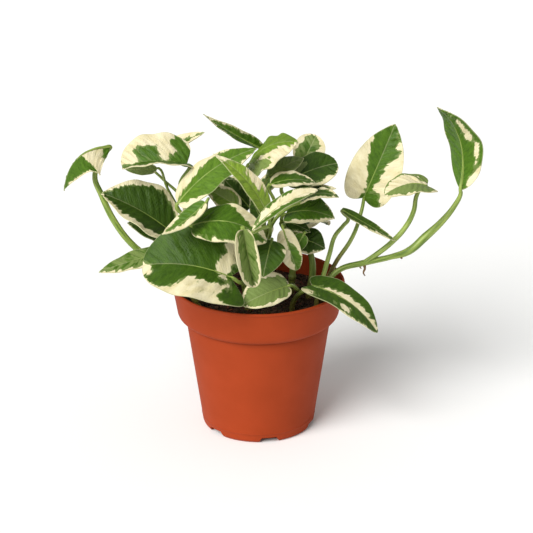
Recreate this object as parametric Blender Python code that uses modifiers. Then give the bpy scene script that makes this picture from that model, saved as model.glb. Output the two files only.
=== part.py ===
"""A trailing pothos with cream-edged leaves, growing in a plastic nursery pot. Metres, +Z up."""
import math

import bmesh
import bpy
from mathutils import Matrix, Vector
from mathutils.geometry import interpolate_bezier

MM = 0.001
GAP = 0.3

# pot: a 10.5 cm round nursery pot, all in millimetres
POT_HEIGHT = 93
RIM_RADIUS = 52.5
COLLAR_FOOT_RADIUS = 49.4
COLLAR_FOOT_HEIGHT = 74
SHOULDER_RADIUS = 44.2
SHOULDER_HEIGHT = 70.4
FOOT_RADIUS = 33.6
WALL = 1.3
FLOOR_TOP = 1.8
LIP_HEIGHT = 1
LIP_OVERHANG = 0.5
EDGE_ROUND = 1.2
POT_SEGMENTS = 40
NOTCHES = 6
NOTCH_WIDTH = 13
NOTCH_TOP_WIDTH = 9
NOTCH_HEIGHT = 3.6
NOTCH_DEPTH = 10
FIRST_NOTCH_ANGLE = -79

# compost, up to a finger's width below the rim
SOIL_TOP = 82
SOIL_RADIUS = 47.5
ROOT_DEPTH = 6
SOCKET_CLEARANCE = 0.8
SOCKET_SIDES = 8

# leaf blades
BLADE_THICKNESS = 0.8
BLADE_ROWS = 6
BLADE_COLUMNS = 4
LOBE = 0.12
CURL = 0
WIDEST = 0.38
FULLNESS = 0.45

# leaf stalks
STALK_BASE_RADIUS = 1.5
STALK_TIP_RADIUS = 1.0
STALK_END_GAP = 1.7
STALK_RISE = 0.45
STALK_LEAN = 0.12
STALK_ARRIVAL = 0.3
STALK_DIP = 0.08
VINE_RADIUS = 2.0
VINE_POINTS = 7
FINE_POINTS = 60
STALK_POINTS = 6

# Each blade: where it joins its stalk and where its tip is, in millimetres from the pot's axis at
# the floor; its width; how far its middle arches towards its face; the way its face looks, as a
# compass angle (-90 is the front) and a height above level, in degrees; and how far its two halves
# are folded up along the midrib, in degrees.
LEAVES = {
    "left_far": ((-86, -8, 181), (-113, -20, 158), 34, 12, (-112, 60), -55),
    "left_hood": ((-42, -6, 169), (-79, -12, 169), 36, 4, (-95, 72), 30),
    "left_hood_low": ((-60, -2, 165), (-79, -4, 166), 8, 1, (-90, -20), 0),
    "left_back_tip": ((-60, 15, 169), (-32, 15, 182), 10, 1, (-90, 60), 10),
    "top_left_spear": ((3, 12, 173), (-32, 0, 198), 12, -1, (90, 47), 10),
    "left_broad": ((-52, -18, 132), (-91, -20, 156), 40, 3, (-90, 65), 20),
    "left_under": ((-49, -12, 123), (-77, -16, 136), 18, 2, (-90, 60), 10),
    "low_left_point": ((-53, -28, 123), (-93, -34, 112), 18, 1, (-90, 75), 0),
    "front_left_broad": ((-16, -46, 114), (-66, -48, 122), 48, 8, (-90, 50), 12),
    "small_over_left": ((-30, -44, 159), (-54, -58, 145), 12, -2, (-100, 70), 10),
    "centre_front": ((-37, -40, 144), (5, -46, 136), 32, 9, (-90, 67), -5),
    "front_narrow": ((-8, -67, 151), (-2, -68, 117), 22, 5, (-90, 15), 55),
    "front_low": ((17, -38, 105), (-9, -50, 98), 22, 2, (-90, 50), 20),
    "front_low_back": ((2, -20, 102), (20, -28, 97), 13, 3, (-90, 50), 0),
    "cream_strip": ((-16, -30, 129), (-16, -32, 111), 8, 1, (-90, 20), 10),
    "centre_fold": ((8, -34, 132), (3, -46, 114), 20, 7, (-90, 30), -5),
    "cream_hanging": ((15, -22, 134), (23, -30, 112), 13, 5, (-95, 20), 5),
    "centre_curl": ((5, -44, 153), (-25, -46, 189), 15, 6, (-60, 50), 10),
    "centre_left": ((-46, -30, 154), (-1, -18, 183), 26, 6, (-80, 72), -5),
    "top_centre": ((-5, -6, 170), (23, -12, 185), 40, 5, (-90, 78), -12),
    "top_right_round": ((27, 20, 161), (35, 28, 176), 19, 2, (-90, 30), 5),
    "right_dark": ((17, 4, 155), (47, 8, 165), 27, 2, (-90, 65), 0),
    "right_dark_left": ((7, -4, 161), (27, 2, 170), 16, 2, (-90, 70), 0),
    "right_edge": ((8, -26, 164), (34, -20, 162), 18, 3, (-90, 80), 5),
    "right_spear": ((-3, -58, 147), (34, -42, 166), 13, 5, (-90, 80), 10),
    "right_mid_high": ((26, -14, 149), (47, -24, 155), 15, 4, (-90, 80), 0),
    "right_mid_tip": ((28, -2, 151), (46, -6, 154), 8, 1, (-90, 75), 0),
    "right_mid_low": ((17, -8, 139), (45, -16, 139), 26, 4, (-90, 70), 5),
    "right_low_dark": ((17, -5, 133), (31, -7, 127), 10, 1, (-90, 55), 0),
    "right_round": ((26, 0, 120), (40, -6, 116), 17, 3, (-90, 35), 0),
    "right_round_left": ((27, -17, 129), (21, -19, 119), 9, 1, (-90, 25), 0),
    "right_low": ((32, -30, 102), (70, -44, 78), 24, 6, (-80, 78), 5),
    "right_heart": ((64, 20, 139), (82, 22, 185), 32, 4, (-90, 20), 10),
    "right_level": ((100, 0, 154), (75, -8, 151), 24, 4, (-90, 80), -3),
    "right_narrow": ((50, -1, 139), (82, -12, 123), 9, 0, (-90, 80), 5),
    "far_right": ((122, 12, 147), (105, 4, 201), 30, 10, (40, 20), 10),
    "behind_mid_a": ((-11, -16, 144), (-31, -20, 159), 16, 3, (-90, 50), 0),
    "behind_mid_b": ((-5, 0, 140), (-20, -1, 158), 16, 1, (-90, 30), 0),
    "behind_low": ((2, -12, 136), (-4, -12, 150), 9, 1, (-90, 30), 0),
    "cream_small": ((-35, -15, 137), (-44, -17, 148), 10, 1, (-90, 30), 0),
    "back_left": ((-32, 18, 120), (-58, 38, 108), 28, 8, (120, 65), 5),
    "back_low_left": ((-20, 22, 105), (-44, 46, 94), 28, 5, (120, 65), 5),
    "back_centre": ((-4, 24, 110), (-8, 60, 98), 30, 6, (95, 65), 5),
    "back_right": ((20, 22, 116), (44, 44, 112), 26, 5, (60, 65), 5),
    "back_high": ((2, 16, 142), (26, 34, 146), 24, 7, (70, 65), 5),
    "back_high_left": ((-14, 16, 146), (-40, 36, 138), 26, 6, (120, 65), 5),
}

# blades that aren't the usual outline: how far the base lobes reach back, how far they curl up as
# they do, where along the midrib the blade is widest, and how fast it widens (smaller is fuller)
OUTLINES = {
    "left_far": {"lobe": -0.3, "widest": 0.38, "fullness": 0.6},
    "left_hood": {"widest": 0.4, "fullness": 0.2},
    "top_left_spear": {"widest": 0.35, "fullness": 0.6},
    "front_left_broad": {"lobe": 0.45, "widest": 0.42, "fullness": 0.28},
    "centre_front": {"widest": 0.45},
    "front_low": {"widest": 0.45},
    "cream_hanging": {"widest": 0.5},
    "centre_curl": {"widest": 0.3, "fullness": 0.4},
    "top_centre": {"widest": 0.42, "fullness": 0.4},
    "top_right_round": {"widest": 0.5, "fullness": 0.4},
    "right_dark": {"widest": 0.6, "fullness": 0.5},
    "right_spear": {"widest": 0.6, "fullness": 0.7},
    "right_low": {"lobe": 0.5, "fullness": 0.35},
    "right_heart": {"lobe": 0.35},
    "right_level": {"lobe": 0.4, "curl": 0.3, "fullness": 0.25},
    "right_narrow": {"lobe": 0.3},
    "far_right": {"widest": 0.45, "fullness": 0.75},
}

# the four upright vines of the clump: root, middle and growing tip
VINES = {
    "left": ((-24, -8, 82), (-27, -9, 105), (-34, -6, 130)),
    "front": ((-6, -20, 82), (-8, -26, 105), (-8, -27, 124)),
    "centre": ((2, 4, 82), (3, 2, 115), (2, 2, 146)),
    "right": ((20, 8, 82), (22, 8, 110), (24, 10, 138)),
}

# leaf stalks of each vine: leaf, height at which the stalk leaves the vine, and a point that it
# is led through where it has to pass round another leaf
STALKS = {
    "left": (
        ("left_hood", 124, (-46, -2, 154)),
        ("left_hood_low", 108, (-54, 5, 150)),
        ("left_back_tip", 127, None),
        ("left_broad", 98, None),
        ("left_under", 92, None),
        ("low_left_point", 88, None),
        ("small_over_left", 119, (-30, -24, 150)),
        ("centre_front", 101, (-41, -31, 148)),
        ("centre_left", 112, (-44, -28, 146)),
        ("cream_small", 104, None),
        ("back_left", 106, None),
        ("back_low_left", 96, None),
    ),
    "front": (
        ("front_left_broad", 90, None),
        ("front_narrow", 94, (-8, -61, 140)),
        ("front_low_back", 86, None),
        ("cream_strip", 98, None),
        ("centre_fold", 102, None),
    ),
    "centre": (
        ("top_left_spear", 140, None),
        ("centre_curl", 112, None),
        ("top_centre", 136, None),
        ("right_dark_left", 128, None),
        ("right_edge", 120, (10, -16, 148)),
        ("right_spear", 108, (6, -38, 142)),
        ("right_mid_high", 118, (18, -16, 146)),
        ("behind_mid_a", 116, None),
        ("behind_mid_b", 122, None),
        ("behind_low", 110, None),
        ("back_centre", 104, None),
        ("back_high", 134, None),
        ("back_high_left", 124, None),
    ),
    "right": (
        ("front_low", 88, (24, -14, 92)),
        ("cream_hanging", 106, None),
        ("top_right_round", 136, None),
        ("right_dark", 126, None),
        ("right_mid_tip", 132, None),
        ("right_mid_low", 112, None),
        ("right_low_dark", 106, None),
        ("right_round_left", 104, (24, -8, 122)),
        ("back_right", 112, None),
    ),
}

# single stalks and the long trailing vine: the points they run through from the soil up, each with
# its radius
RUNNERS = {
    "stalk_left_far": [
        ((-36, -17, 83), 2.0), ((-56, -17, 108), 2.0), ((-73, -16, 121), 2.0), ((-84, -14, 135), 2.0),
        ((-92, -10, 151), 1.9), ((-96, -7, 163), 1.6), ((-88, -7, 178), 1.3),
    ],
    "stalk_right_heart": [
        ((40, 4, 83), 1.5), ((46, 4, 101), 1.4), ((57, 6, 119), 1.3), ((62, 13, 131), 1.2),
        ((64, 19, 138), 1.1),
    ],
    "stalk_right_narrow": [
        ((35, -13, 83), 1.5), ((39, -9, 99), 1.5), ((43, -5, 113), 1.4), ((46, -1, 122), 1.3),
        ((51, 1, 128), 1.2), ((54, 2, 132), 1.2), ((51, 1, 136), 1.1),
    ],
    "stalk_right_low": [
        ((20, -21, 83), 1.6), ((22, -22, 90), 1.5), ((27, -26, 97), 1.5), ((31, -29, 100), 1.3),
    ],
    "stalk_right_round": [
        ((31, 0, 83), 2.2), ((33, 2, 100), 2.0), ((31, 4, 111), 1.7), ((27, 2, 118), 1.3),
    ],
    "trailing_vine": [
        ((38, -6, 83), 1.7), ((42, -4, 93), 1.7), ((48, -2, 100), 1.7), ((64, 1, 104), 1.9),
        ((80, 3, 107), 1.7), ((91, 5, 110), 2.4), ((101, 8, 118), 2.6), ((112, 11, 128), 2.0),
        ((119, 13, 137), 1.6), ((122, 13, 144), 1.3),
    ],
}

# the trailing vine's side stalk, which carries the level leaf
SIDE_STALK = [
    ((64, 1, 104), 1.6), ((72, 1, 110), 1.6), ((80, 1, 117), 1.6), ((88, 2, 126), 1.6),
    ((93, 3, 136), 1.5), ((95, 4, 147), 1.3), ((99, 4, 153), 1.1),
]

WELD = 0.00001
SHARP_ANGLE = math.radians(35)

POT_COLOUR = (0.50, 0.11, 0.035, 1)
SOIL_COLOUR = (0.035, 0.018, 0.010, 1)
STEM_COLOUR = (0.17, 0.26, 0.05, 1)
LEAF_COLOUR = (0.10, 0.19, 0.06, 1)
POT_ROUGHNESS = 0.45
SOIL_ROUGHNESS = 0.95
STEM_ROUGHNESS = 0.45
LEAF_ROUGHNESS = 0.4


def clear_scene():
    for old in list(bpy.data.objects):
        bpy.data.objects.remove(old, do_unlink=True)


def new_collection(name, hidden=False):
    group = bpy.data.collections.new(name)
    bpy.context.scene.collection.children.link(group)
    group.hide_render = hidden
    return group


def give_material(piece, colour, roughness):
    material = bpy.data.materials.new(piece.name + "_surface")
    material.use_nodes = True
    shader = material.node_tree.nodes["Principled BSDF"]
    shader.inputs["Base Color"].default_value = colour
    shader.inputs["Roughness"].default_value = roughness
    piece.data.materials.clear()
    piece.data.materials.append(material)


def add_object(name, mesh, group):
    piece = bpy.data.objects.new(name, mesh)
    group.objects.link(piece)
    return piece


def add_cutter(name, mesh, group):
    cutter = add_object(name, mesh, group)
    cutter.display_type = "WIRE"
    cutter.hide_render = True
    return cutter


def add_boolean(piece, other, operation):
    boolean = piece.modifiers.new(operation.lower(), "BOOLEAN")
    boolean.operation = operation
    boolean.solver = "EXACT"
    boolean.object = other


def turned(name, profile, group):
    """A body of revolution about Z from (radius, height) points in millimetres, axis to axis."""
    mesh = bpy.data.meshes.new(name)
    points = [(radius * MM, 0, height * MM) for radius, height in profile]
    mesh.from_pydata(points, [(i, i + 1) for i in range(len(points) - 1)], [])
    piece = add_object(name, mesh, group)
    screw = piece.modifiers.new("turn", "SCREW")
    screw.steps = POT_SEGMENTS
    screw.render_steps = POT_SEGMENTS
    screw.use_merge_vertices = True
    screw.merge_threshold = 0.0001
    screw.use_normal_calculate = True
    screw.use_smooth_shade = True
    return piece


def notch(name, angle, group):
    """A drain notch's cutter: across the pot's bottom corner, narrower at its top."""
    mesh = bpy.data.meshes.new(name)
    shape = bmesh.new()
    bmesh.ops.create_cube(shape, size=1)
    for vert in shape.verts:
        width = NOTCH_TOP_WIDTH if vert.co.z > 0 else 2 * NOTCH_WIDTH - NOTCH_TOP_WIDTH
        x = FOOT_RADIUS + vert.co.x * NOTCH_DEPTH
        vert.co = Vector((x, vert.co.y * width, 2 * vert.co.z * NOTCH_HEIGHT)) * MM
    bmesh.ops.rotate(shape, verts=shape.verts, matrix=Matrix.Rotation(angle, 3, "Z"))
    shape.to_mesh(mesh)
    shape.free()
    return add_cutter(name, mesh, group)


def root_sockets(sockets, group):
    """One cutter mesh holding an upright cylinder for each root: (x, y, radius) in millimetres."""
    mesh = bpy.data.meshes.new("root_sockets")
    shape = bmesh.new()
    for x, y, radius in sockets:
        bmesh.ops.create_cone(
            shape, cap_ends=True, segments=SOCKET_SIDES, radius1=radius * MM, radius2=radius * MM,
            depth=2 * (ROOT_DEPTH + 1) * MM, matrix=Matrix.Translation((x * MM, y * MM, SOIL_TOP * MM)))
    shape.to_mesh(mesh)
    shape.free()
    return add_cutter("root_sockets", mesh, group)


def pot_profile():
    """Half section of the pot: up its inside from the middle of the floor, over the lip and down."""
    throat = RIM_RADIUS - LIP_OVERHANG
    inside = [
        (0, FLOOR_TOP),
        (FOOT_RADIUS - WALL, FLOOR_TOP),
        (SHOULDER_RADIUS - WALL, SHOULDER_HEIGHT + 1.5 * EDGE_ROUND),
        (COLLAR_FOOT_RADIUS - EDGE_ROUND - WALL, COLLAR_FOOT_HEIGHT - EDGE_ROUND / 2),
        (COLLAR_FOOT_RADIUS - WALL, COLLAR_FOOT_HEIGHT + EDGE_ROUND),
        (throat - WALL, POT_HEIGHT - LIP_HEIGHT),
    ]
    lip = [
        (RIM_RADIUS - WALL, POT_HEIGHT - LIP_HEIGHT / 4),
        (RIM_RADIUS - 2 * WALL / 3, POT_HEIGHT),
        (RIM_RADIUS - WALL / 6, POT_HEIGHT - LIP_HEIGHT / 4),
        (RIM_RADIUS, POT_HEIGHT - LIP_HEIGHT),
        (throat, POT_HEIGHT - 2 * LIP_HEIGHT),
    ]
    outside = [
        (COLLAR_FOOT_RADIUS, COLLAR_FOOT_HEIGHT),
        (COLLAR_FOOT_RADIUS - EDGE_ROUND, COLLAR_FOOT_HEIGHT - 2 * EDGE_ROUND),
        (SHOULDER_RADIUS + EDGE_ROUND, SHOULDER_HEIGHT + EDGE_ROUND),
        (SHOULDER_RADIUS, SHOULDER_HEIGHT),
        (FOOT_RADIUS + EDGE_ROUND, 3 * EDGE_ROUND),
        (FOOT_RADIUS + EDGE_ROUND / 2, EDGE_ROUND),
        (FOOT_RADIUS - EDGE_ROUND / 2, 0),
        (0, 0),
    ]
    return inside + lip + outside


def soil_profile():
    """Half section of the compost, which fills the pot up to SOIL_TOP with a gap all round."""
    inner = WALL + GAP
    return [
        (0, SOIL_TOP),
        (SOIL_RADIUS, SOIL_TOP),
        (COLLAR_FOOT_RADIUS - inner, COLLAR_FOOT_HEIGHT + 2 * EDGE_ROUND),
        (COLLAR_FOOT_RADIUS - 2 * EDGE_ROUND - inner, COLLAR_FOOT_HEIGHT),
        (SHOULDER_RADIUS - inner, SHOULDER_HEIGHT + 1.5 * EDGE_ROUND),
        (FOOT_RADIUS - inner, FLOOR_TOP + GAP),
        (0, FLOOR_TOP + GAP),
    ]


def shade_round(piece):
    piece.data.shade_smooth()
    piece.data.set_sharp_from_angle(angle=SHARP_ANGLE)


def build_pot(group, cutters):
    pot = turned("pot", pot_profile(), group)
    for i in range(NOTCHES):
        angle = math.radians(FIRST_NOTCH_ANGLE + i * 360 / NOTCHES)
        add_boolean(pot, notch("notch_%d" % i, angle, cutters), "DIFFERENCE")
    give_material(pot, POT_COLOUR, POT_ROUGHNESS)


def build_soil(group, cutters):
    soil = turned("soil", soil_profile(), group)
    roots = [(root, VINE_RADIUS) for root, _, _ in VINES.values()] + [run[0] for run in RUNNERS.values()]
    sockets = [(root[0], root[1], radius + SOCKET_CLEARANCE) for root, radius in roots]
    add_boolean(soil, root_sockets(sockets, cutters), "DIFFERENCE")
    give_material(soil, SOIL_COLOUR, SOIL_ROUGHNESS)


def blade_frame(name):
    """Base, middle and tip of a leaf's midrib, the arms from it to the left and right margins where
    the blade is widest, and the way its face looks, in millimetres."""
    base, tip, width, arch, (compass, height), fold = LEAVES[name]
    base, tip = Vector(base), Vector(tip)
    compass, height, fold = math.radians(compass), math.radians(height), math.radians(fold)
    chord = (tip - base).normalized()
    level = Vector((math.cos(compass), math.sin(compass), 0))
    look = level * math.cos(height) + Vector((0, 0, math.sin(height)))
    face = (look - chord * look.dot(chord)).normalized()
    side = chord.cross(face)
    middle = (base + tip) / 2 + face * arch
    left = (face * math.sin(fold) - side * math.cos(fold)) * width / 2
    right = (face * math.sin(fold) + side * math.cos(fold)) * width / 2
    return base, middle, tip, left, right, face


def blade_point(blade, t, across, lobe=LOBE, curl=CURL, widest=WIDEST, fullness=FULLNESS):
    """Point of a blade at t along the midrib, from 0 at the base to 1 at the tip, and across it from
    -1 at the left margin to 1 at the right."""
    base, middle, tip, left, right, face = blade
    bend = 2 * middle - (base + tip) / 2

    def on_midrib(s):
        return (1 - s) ** 2 * base + 2 * s * (1 - s) * bend + s * s * tip

    def along(s):
        return ((1 - s) * (bend - base) + s * (tip - bend)).normalized()

    taper = fullness * (1 - widest) / widest
    width = (t ** fullness * (1 - t) ** taper) / (widest ** fullness * (1 - widest) ** taper)
    arm = (right if across >= 0 else left).copy()
    arm.rotate(along(widest).rotation_difference(along(t)))
    reach = lobe * arm.length * width * abs(across) ** 1.5 * 2 * (1 - t) ** 3
    return on_midrib(t) + arm * (width * abs(across)) + (face * curl - along(t)) * reach


def build_leaf(name, group):
    blade = blade_frame(name)
    outline = OUTLINES.get(name, {})
    mesh = bpy.data.meshes.new("leaf_" + name)
    shape = bmesh.new()
    bmesh.ops.create_grid(shape, x_segments=BLADE_ROWS, y_segments=BLADE_COLUMNS, size=0.5)
    for vert in shape.verts:
        t = min(max(vert.co.x + 0.5, 0), 1)
        vert.co = blade_point(blade, t, 2 * vert.co.y, **outline) * MM
    bmesh.ops.remove_doubles(shape, verts=shape.verts, dist=WELD)
    shape.to_mesh(mesh)
    shape.free()
    leaf = add_object("leaf_" + name, mesh, group)
    shade_round(leaf)
    solidify = leaf.modifiers.new("thickness", "SOLIDIFY")
    solidify.thickness = BLADE_THICKNESS * MM
    solidify.offset = 0
    give_material(leaf, LEAF_COLOUR, LEAF_ROUGHNESS)


def tube_mesh(name, points, radii):
    """A closed round stem along points, with a radius at each, all in millimetres."""
    curve = bpy.data.curves.new(name, "CURVE")
    curve.dimensions = "3D"
    curve.bevel_depth = MM
    curve.bevel_resolution = 1
    curve.use_fill_caps = True
    spline = curve.splines.new("POLY")
    spline.points.add(len(points) - 1)
    for point, place, radius in zip(spline.points, points, radii):
        point.co = (*(place * MM), 1)
        point.radius = radius
    path = bpy.data.objects.new(name, curve)
    bpy.context.scene.collection.objects.link(path)
    bpy.context.view_layer.update()
    mesh = bpy.data.meshes.new_from_object(path.evaluated_get(bpy.context.evaluated_depsgraph_get()))
    bpy.data.objects.remove(path, do_unlink=True)
    bpy.data.curves.remove(curve)
    shape = bmesh.new()
    shape.from_mesh(mesh)
    bmesh.ops.remove_doubles(shape, verts=shape.verts, dist=WELD)
    bmesh.ops.recalc_face_normals(shape, faces=shape.faces)
    shape.to_mesh(mesh)
    shape.free()
    return mesh


def smooth_run(points, radii, per_span):
    """Points and radii of a smooth line through the given ones."""
    ends = [2 * points[0] - points[1]] + points + [2 * points[-1] - points[-2]]
    line, sizes = [], []
    for i in range(1, len(ends) - 2):
        before, start, end, after = ends[i - 1:i + 3]
        leave = start + (end - before) / 6
        arrive = end - (after - start) / 6
        span = interpolate_bezier(start, leave, arrive, end, per_span + 1)
        for k in range(per_span):
            line.append(span[k])
            sizes.append(radii[i - 1] + (radii[i] - radii[i - 1]) * k / per_span)
    return line + [points[-1]], sizes + [radii[-1]]


def vine_line(vine, count=VINE_POINTS):
    root, middle, tip = (Vector(point) for point in VINES[vine])
    bend = 2 * middle - (root + tip) / 2
    return interpolate_bezier(root, root + (bend - root) * 2 / 3, tip + (bend - tip) * 2 / 3, tip, count)


def stalk_line(vine, leaf, height, via):
    """A leaf stalk: up and out of the vine, then into the leaf's base along its midrib."""
    start = min(vine_line(vine, FINE_POINTS), key=lambda point: abs(point.z - height))
    base, middle, tip = blade_frame(leaf)[:3]
    heading = (2 * middle - (base + tip) / 2 - base).normalized()
    end = base - heading * STALK_END_GAP
    if via:
        return smooth_run([start, Vector(via), end], [1, 1, 1], 3)[0]
    span = (base - start).length
    out = Vector((base.x - start.x, base.y - start.y, 0))
    lift = start + Vector((0, 0, STALK_RISE * span)) + STALK_LEAN * out
    arrive = base - heading * STALK_ARRIVAL * span - Vector((0, 0, STALK_DIP * span))
    return interpolate_bezier(start, lift, arrive, end, STALK_POINTS)


def rooted(points):
    """The same run with a straight root below it."""
    foot = points[0].copy()
    foot.z = SOIL_TOP - ROOT_DEPTH
    return [foot] + points


def build_vine(vine, group, cutters):
    line = rooted(vine_line(vine))
    stem = add_object("vine_" + vine, tube_mesh("vine_" + vine, line, [VINE_RADIUS] * len(line)), group)
    for leaf, height, via in STALKS[vine]:
        run = stalk_line(vine, leaf, height, via)
        step = (STALK_BASE_RADIUS - STALK_TIP_RADIUS) / (len(run) - 1)
        radii = [STALK_BASE_RADIUS - step * i for i in range(len(run))]
        stalk = tube_mesh("stalk_" + leaf, run, radii)
        add_boolean(stem, add_cutter(stalk.name, stalk, cutters), "UNION")
    shade_round(stem)
    give_material(stem, STEM_COLOUR, STEM_ROUGHNESS)


def build_runner(name, group, cutters):
    points = [Vector(point) for point, _ in RUNNERS[name]]
    radii = [radius for _, radius in RUNNERS[name]]
    line, sizes = smooth_run(points, radii, 2)
    stem = add_object(name, tube_mesh(name, rooted(line), [sizes[0]] + sizes), group)
    if name == "trailing_vine":
        side, side_sizes = smooth_run([Vector(p) for p, _ in SIDE_STALK], [r for _, r in SIDE_STALK], 2)
        stalk = tube_mesh("side_stalk", side, side_sizes)
        add_boolean(stem, add_cutter(stalk.name, stalk, cutters), "UNION")
    shade_round(stem)
    give_material(stem, STEM_COLOUR, STEM_ROUGHNESS)


def main():
    clear_scene()
    plant = new_collection("potted_pothos")
    cutters = new_collection("cutters", hidden=True)
    build_pot(plant, cutters)
    build_soil(plant, cutters)
    for vine in VINES:
        build_vine(vine, plant, cutters)
    for name in RUNNERS:
        build_runner(name, plant, cutters)
    for name in LEAVES:
        build_leaf(name, plant)


main()
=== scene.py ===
"""The looks of a potted pothos: waxy green and cream leaves, green stems, compost and a plastic pot.

It is laid out as an add-on and run as a script. The pot, the compost, each stem and each blade stand
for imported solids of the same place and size. The crumbs, bark, moss and aerial roots are looks only.
The plant's tables are in millimetres, from the pot's axis at the floor.
"""

import math
import random
from functools import partial

import bpy
import numpy as np
from bpy.props import FloatProperty, FloatVectorProperty, IntProperty, PointerProperty
from mathutils import Matrix, Vector, noise
from mathutils.geometry import interpolate_bezier


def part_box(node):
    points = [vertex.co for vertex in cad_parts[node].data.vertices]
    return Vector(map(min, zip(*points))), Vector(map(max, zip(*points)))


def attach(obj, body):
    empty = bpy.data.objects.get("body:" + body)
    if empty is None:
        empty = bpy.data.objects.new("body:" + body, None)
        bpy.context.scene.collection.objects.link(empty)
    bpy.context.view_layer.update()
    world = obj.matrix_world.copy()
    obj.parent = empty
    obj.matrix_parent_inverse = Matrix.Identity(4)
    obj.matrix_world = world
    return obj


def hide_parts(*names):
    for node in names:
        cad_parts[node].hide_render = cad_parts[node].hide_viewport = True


bl_info = {
    "name": "Potted pothos",
    "version": (1, 0, 0),
    "blender": (4, 5, 0),
    "location": "3D View > Sidebar > Pothos",
    "description": "Builds a variegated pothos in a nursery pot around its packed solids",
    "category": "Add Mesh",
}

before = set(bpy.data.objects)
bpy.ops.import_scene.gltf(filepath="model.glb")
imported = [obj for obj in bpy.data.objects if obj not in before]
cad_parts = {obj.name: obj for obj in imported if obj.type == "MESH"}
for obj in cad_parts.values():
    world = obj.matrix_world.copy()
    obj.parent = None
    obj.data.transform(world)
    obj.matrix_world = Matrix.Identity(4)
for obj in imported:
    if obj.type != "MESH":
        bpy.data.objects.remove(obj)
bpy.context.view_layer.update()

MM = 0.001
BODY = "root"
POT_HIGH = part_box("pot")[1]
SOIL_LOW, SOIL_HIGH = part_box("soil")

# Each blade: where it joins its stalk and where its tip is; its width; how far its middle arches
# towards its face; the way its face looks, as a compass angle (-90 is the front) and a height above
# level, in degrees; and how far its two halves are folded up along the midrib, in degrees.
LEAVES = {
    "left_far": ((-86, -8, 181), (-113, -20, 158), 34, 12, (-112, 60), -55),
    "left_hood": ((-42, -6, 169), (-79, -12, 169), 36, 4, (-95, 72), 30),
    "left_hood_low": ((-60, -2, 165), (-79, -4, 166), 8, 1, (-90, -20), 0),
    "left_back_tip": ((-60, 15, 169), (-32, 15, 182), 10, 1, (-90, 60), 10),
    "top_left_spear": ((3, 12, 173), (-32, 0, 198), 12, -1, (90, 47), 10),
    "left_broad": ((-52, -18, 132), (-91, -20, 156), 40, 3, (-90, 65), 20),
    "left_under": ((-49, -12, 123), (-77, -16, 136), 18, 2, (-90, 60), 10),
    "low_left_point": ((-53, -28, 123), (-93, -34, 112), 18, 1, (-90, 75), 0),
    "front_left_broad": ((-16, -46, 114), (-66, -48, 122), 48, 8, (-90, 50), 12),
    "small_over_left": ((-30, -44, 159), (-54, -58, 145), 12, -2, (-100, 70), 10),
    "centre_front": ((-37, -40, 144), (5, -46, 136), 32, 9, (-90, 67), -5),
    "front_narrow": ((-8, -67, 151), (-2, -68, 117), 22, 5, (-90, 15), 55),
    "front_low": ((17, -38, 105), (-9, -50, 98), 22, 2, (-90, 50), 20),
    "front_low_back": ((2, -20, 102), (20, -28, 97), 13, 3, (-90, 50), 0),
    "cream_strip": ((-16, -30, 129), (-16, -32, 111), 8, 1, (-90, 20), 10),
    "centre_fold": ((8, -34, 132), (3, -46, 114), 20, 7, (-90, 30), -5),
    "cream_hanging": ((15, -22, 134), (23, -30, 112), 13, 5, (-95, 20), 5),
    "centre_curl": ((5, -44, 153), (-25, -46, 189), 15, 6, (-60, 50), 10),
    "centre_left": ((-46, -30, 154), (-1, -18, 183), 26, 6, (-80, 72), -5),
    "top_centre": ((-5, -6, 170), (23, -12, 185), 40, 5, (-90, 78), -12),
    "top_right_round": ((27, 20, 161), (35, 28, 176), 19, 2, (-90, 30), 5),
    "right_dark": ((17, 4, 155), (47, 8, 165), 27, 2, (-90, 65), 0),
    "right_dark_left": ((7, -4, 161), (27, 2, 170), 16, 2, (-90, 70), 0),
    "right_edge": ((8, -26, 164), (34, -20, 162), 18, 3, (-90, 80), 5),
    "right_spear": ((-3, -58, 147), (34, -42, 166), 13, 5, (-90, 80), 10),
    "right_mid_high": ((26, -14, 149), (47, -24, 155), 15, 4, (-90, 80), 0),
    "right_mid_tip": ((28, -2, 151), (46, -6, 154), 8, 1, (-90, 75), 0),
    "right_mid_low": ((17, -8, 139), (45, -16, 139), 26, 4, (-90, 70), 5),
    "right_low_dark": ((17, -5, 133), (31, -7, 127), 10, 1, (-90, 55), 0),
    "right_round": ((26, 0, 120), (40, -6, 116), 17, 3, (-90, 35), 0),
    "right_round_left": ((27, -17, 129), (21, -19, 119), 9, 1, (-90, 25), 0),
    "right_low": ((32, -30, 102), (70, -44, 78), 24, 6, (-80, 78), 5),
    "right_heart": ((64, 20, 139), (82, 22, 185), 32, 4, (-90, 20), 10),
    "right_level": ((100, 0, 154), (75, -8, 151), 24, 4, (-90, 80), -3),
    "right_narrow": ((50, -1, 139), (82, -12, 123), 9, 0, (-90, 80), 5),
    "far_right": ((122, 12, 147), (105, 4, 201), 30, 10, (40, 20), 10),
    "behind_mid_a": ((-11, -16, 144), (-31, -20, 159), 16, 3, (-90, 50), 0),
    "behind_mid_b": ((-5, 0, 140), (-20, -1, 158), 16, 1, (-90, 30), 0),
    "behind_low": ((2, -12, 136), (-4, -12, 150), 9, 1, (-90, 30), 0),
    "cream_small": ((-35, -15, 137), (-44, -17, 148), 10, 1, (-90, 30), 0),
    "back_left": ((-32, 18, 120), (-58, 38, 108), 28, 8, (120, 65), 5),
    "back_low_left": ((-20, 22, 105), (-44, 46, 94), 28, 5, (120, 65), 5),
    "back_centre": ((-4, 24, 110), (-8, 60, 98), 30, 6, (95, 65), 5),
    "back_right": ((20, 22, 116), (44, 44, 112), 26, 5, (60, 65), 5),
    "back_high": ((2, 16, 142), (26, 34, 146), 24, 7, (70, 65), 5),
    "back_high_left": ((-14, 16, 146), (-40, 36, 138), 26, 6, (120, 65), 5),
}

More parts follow.
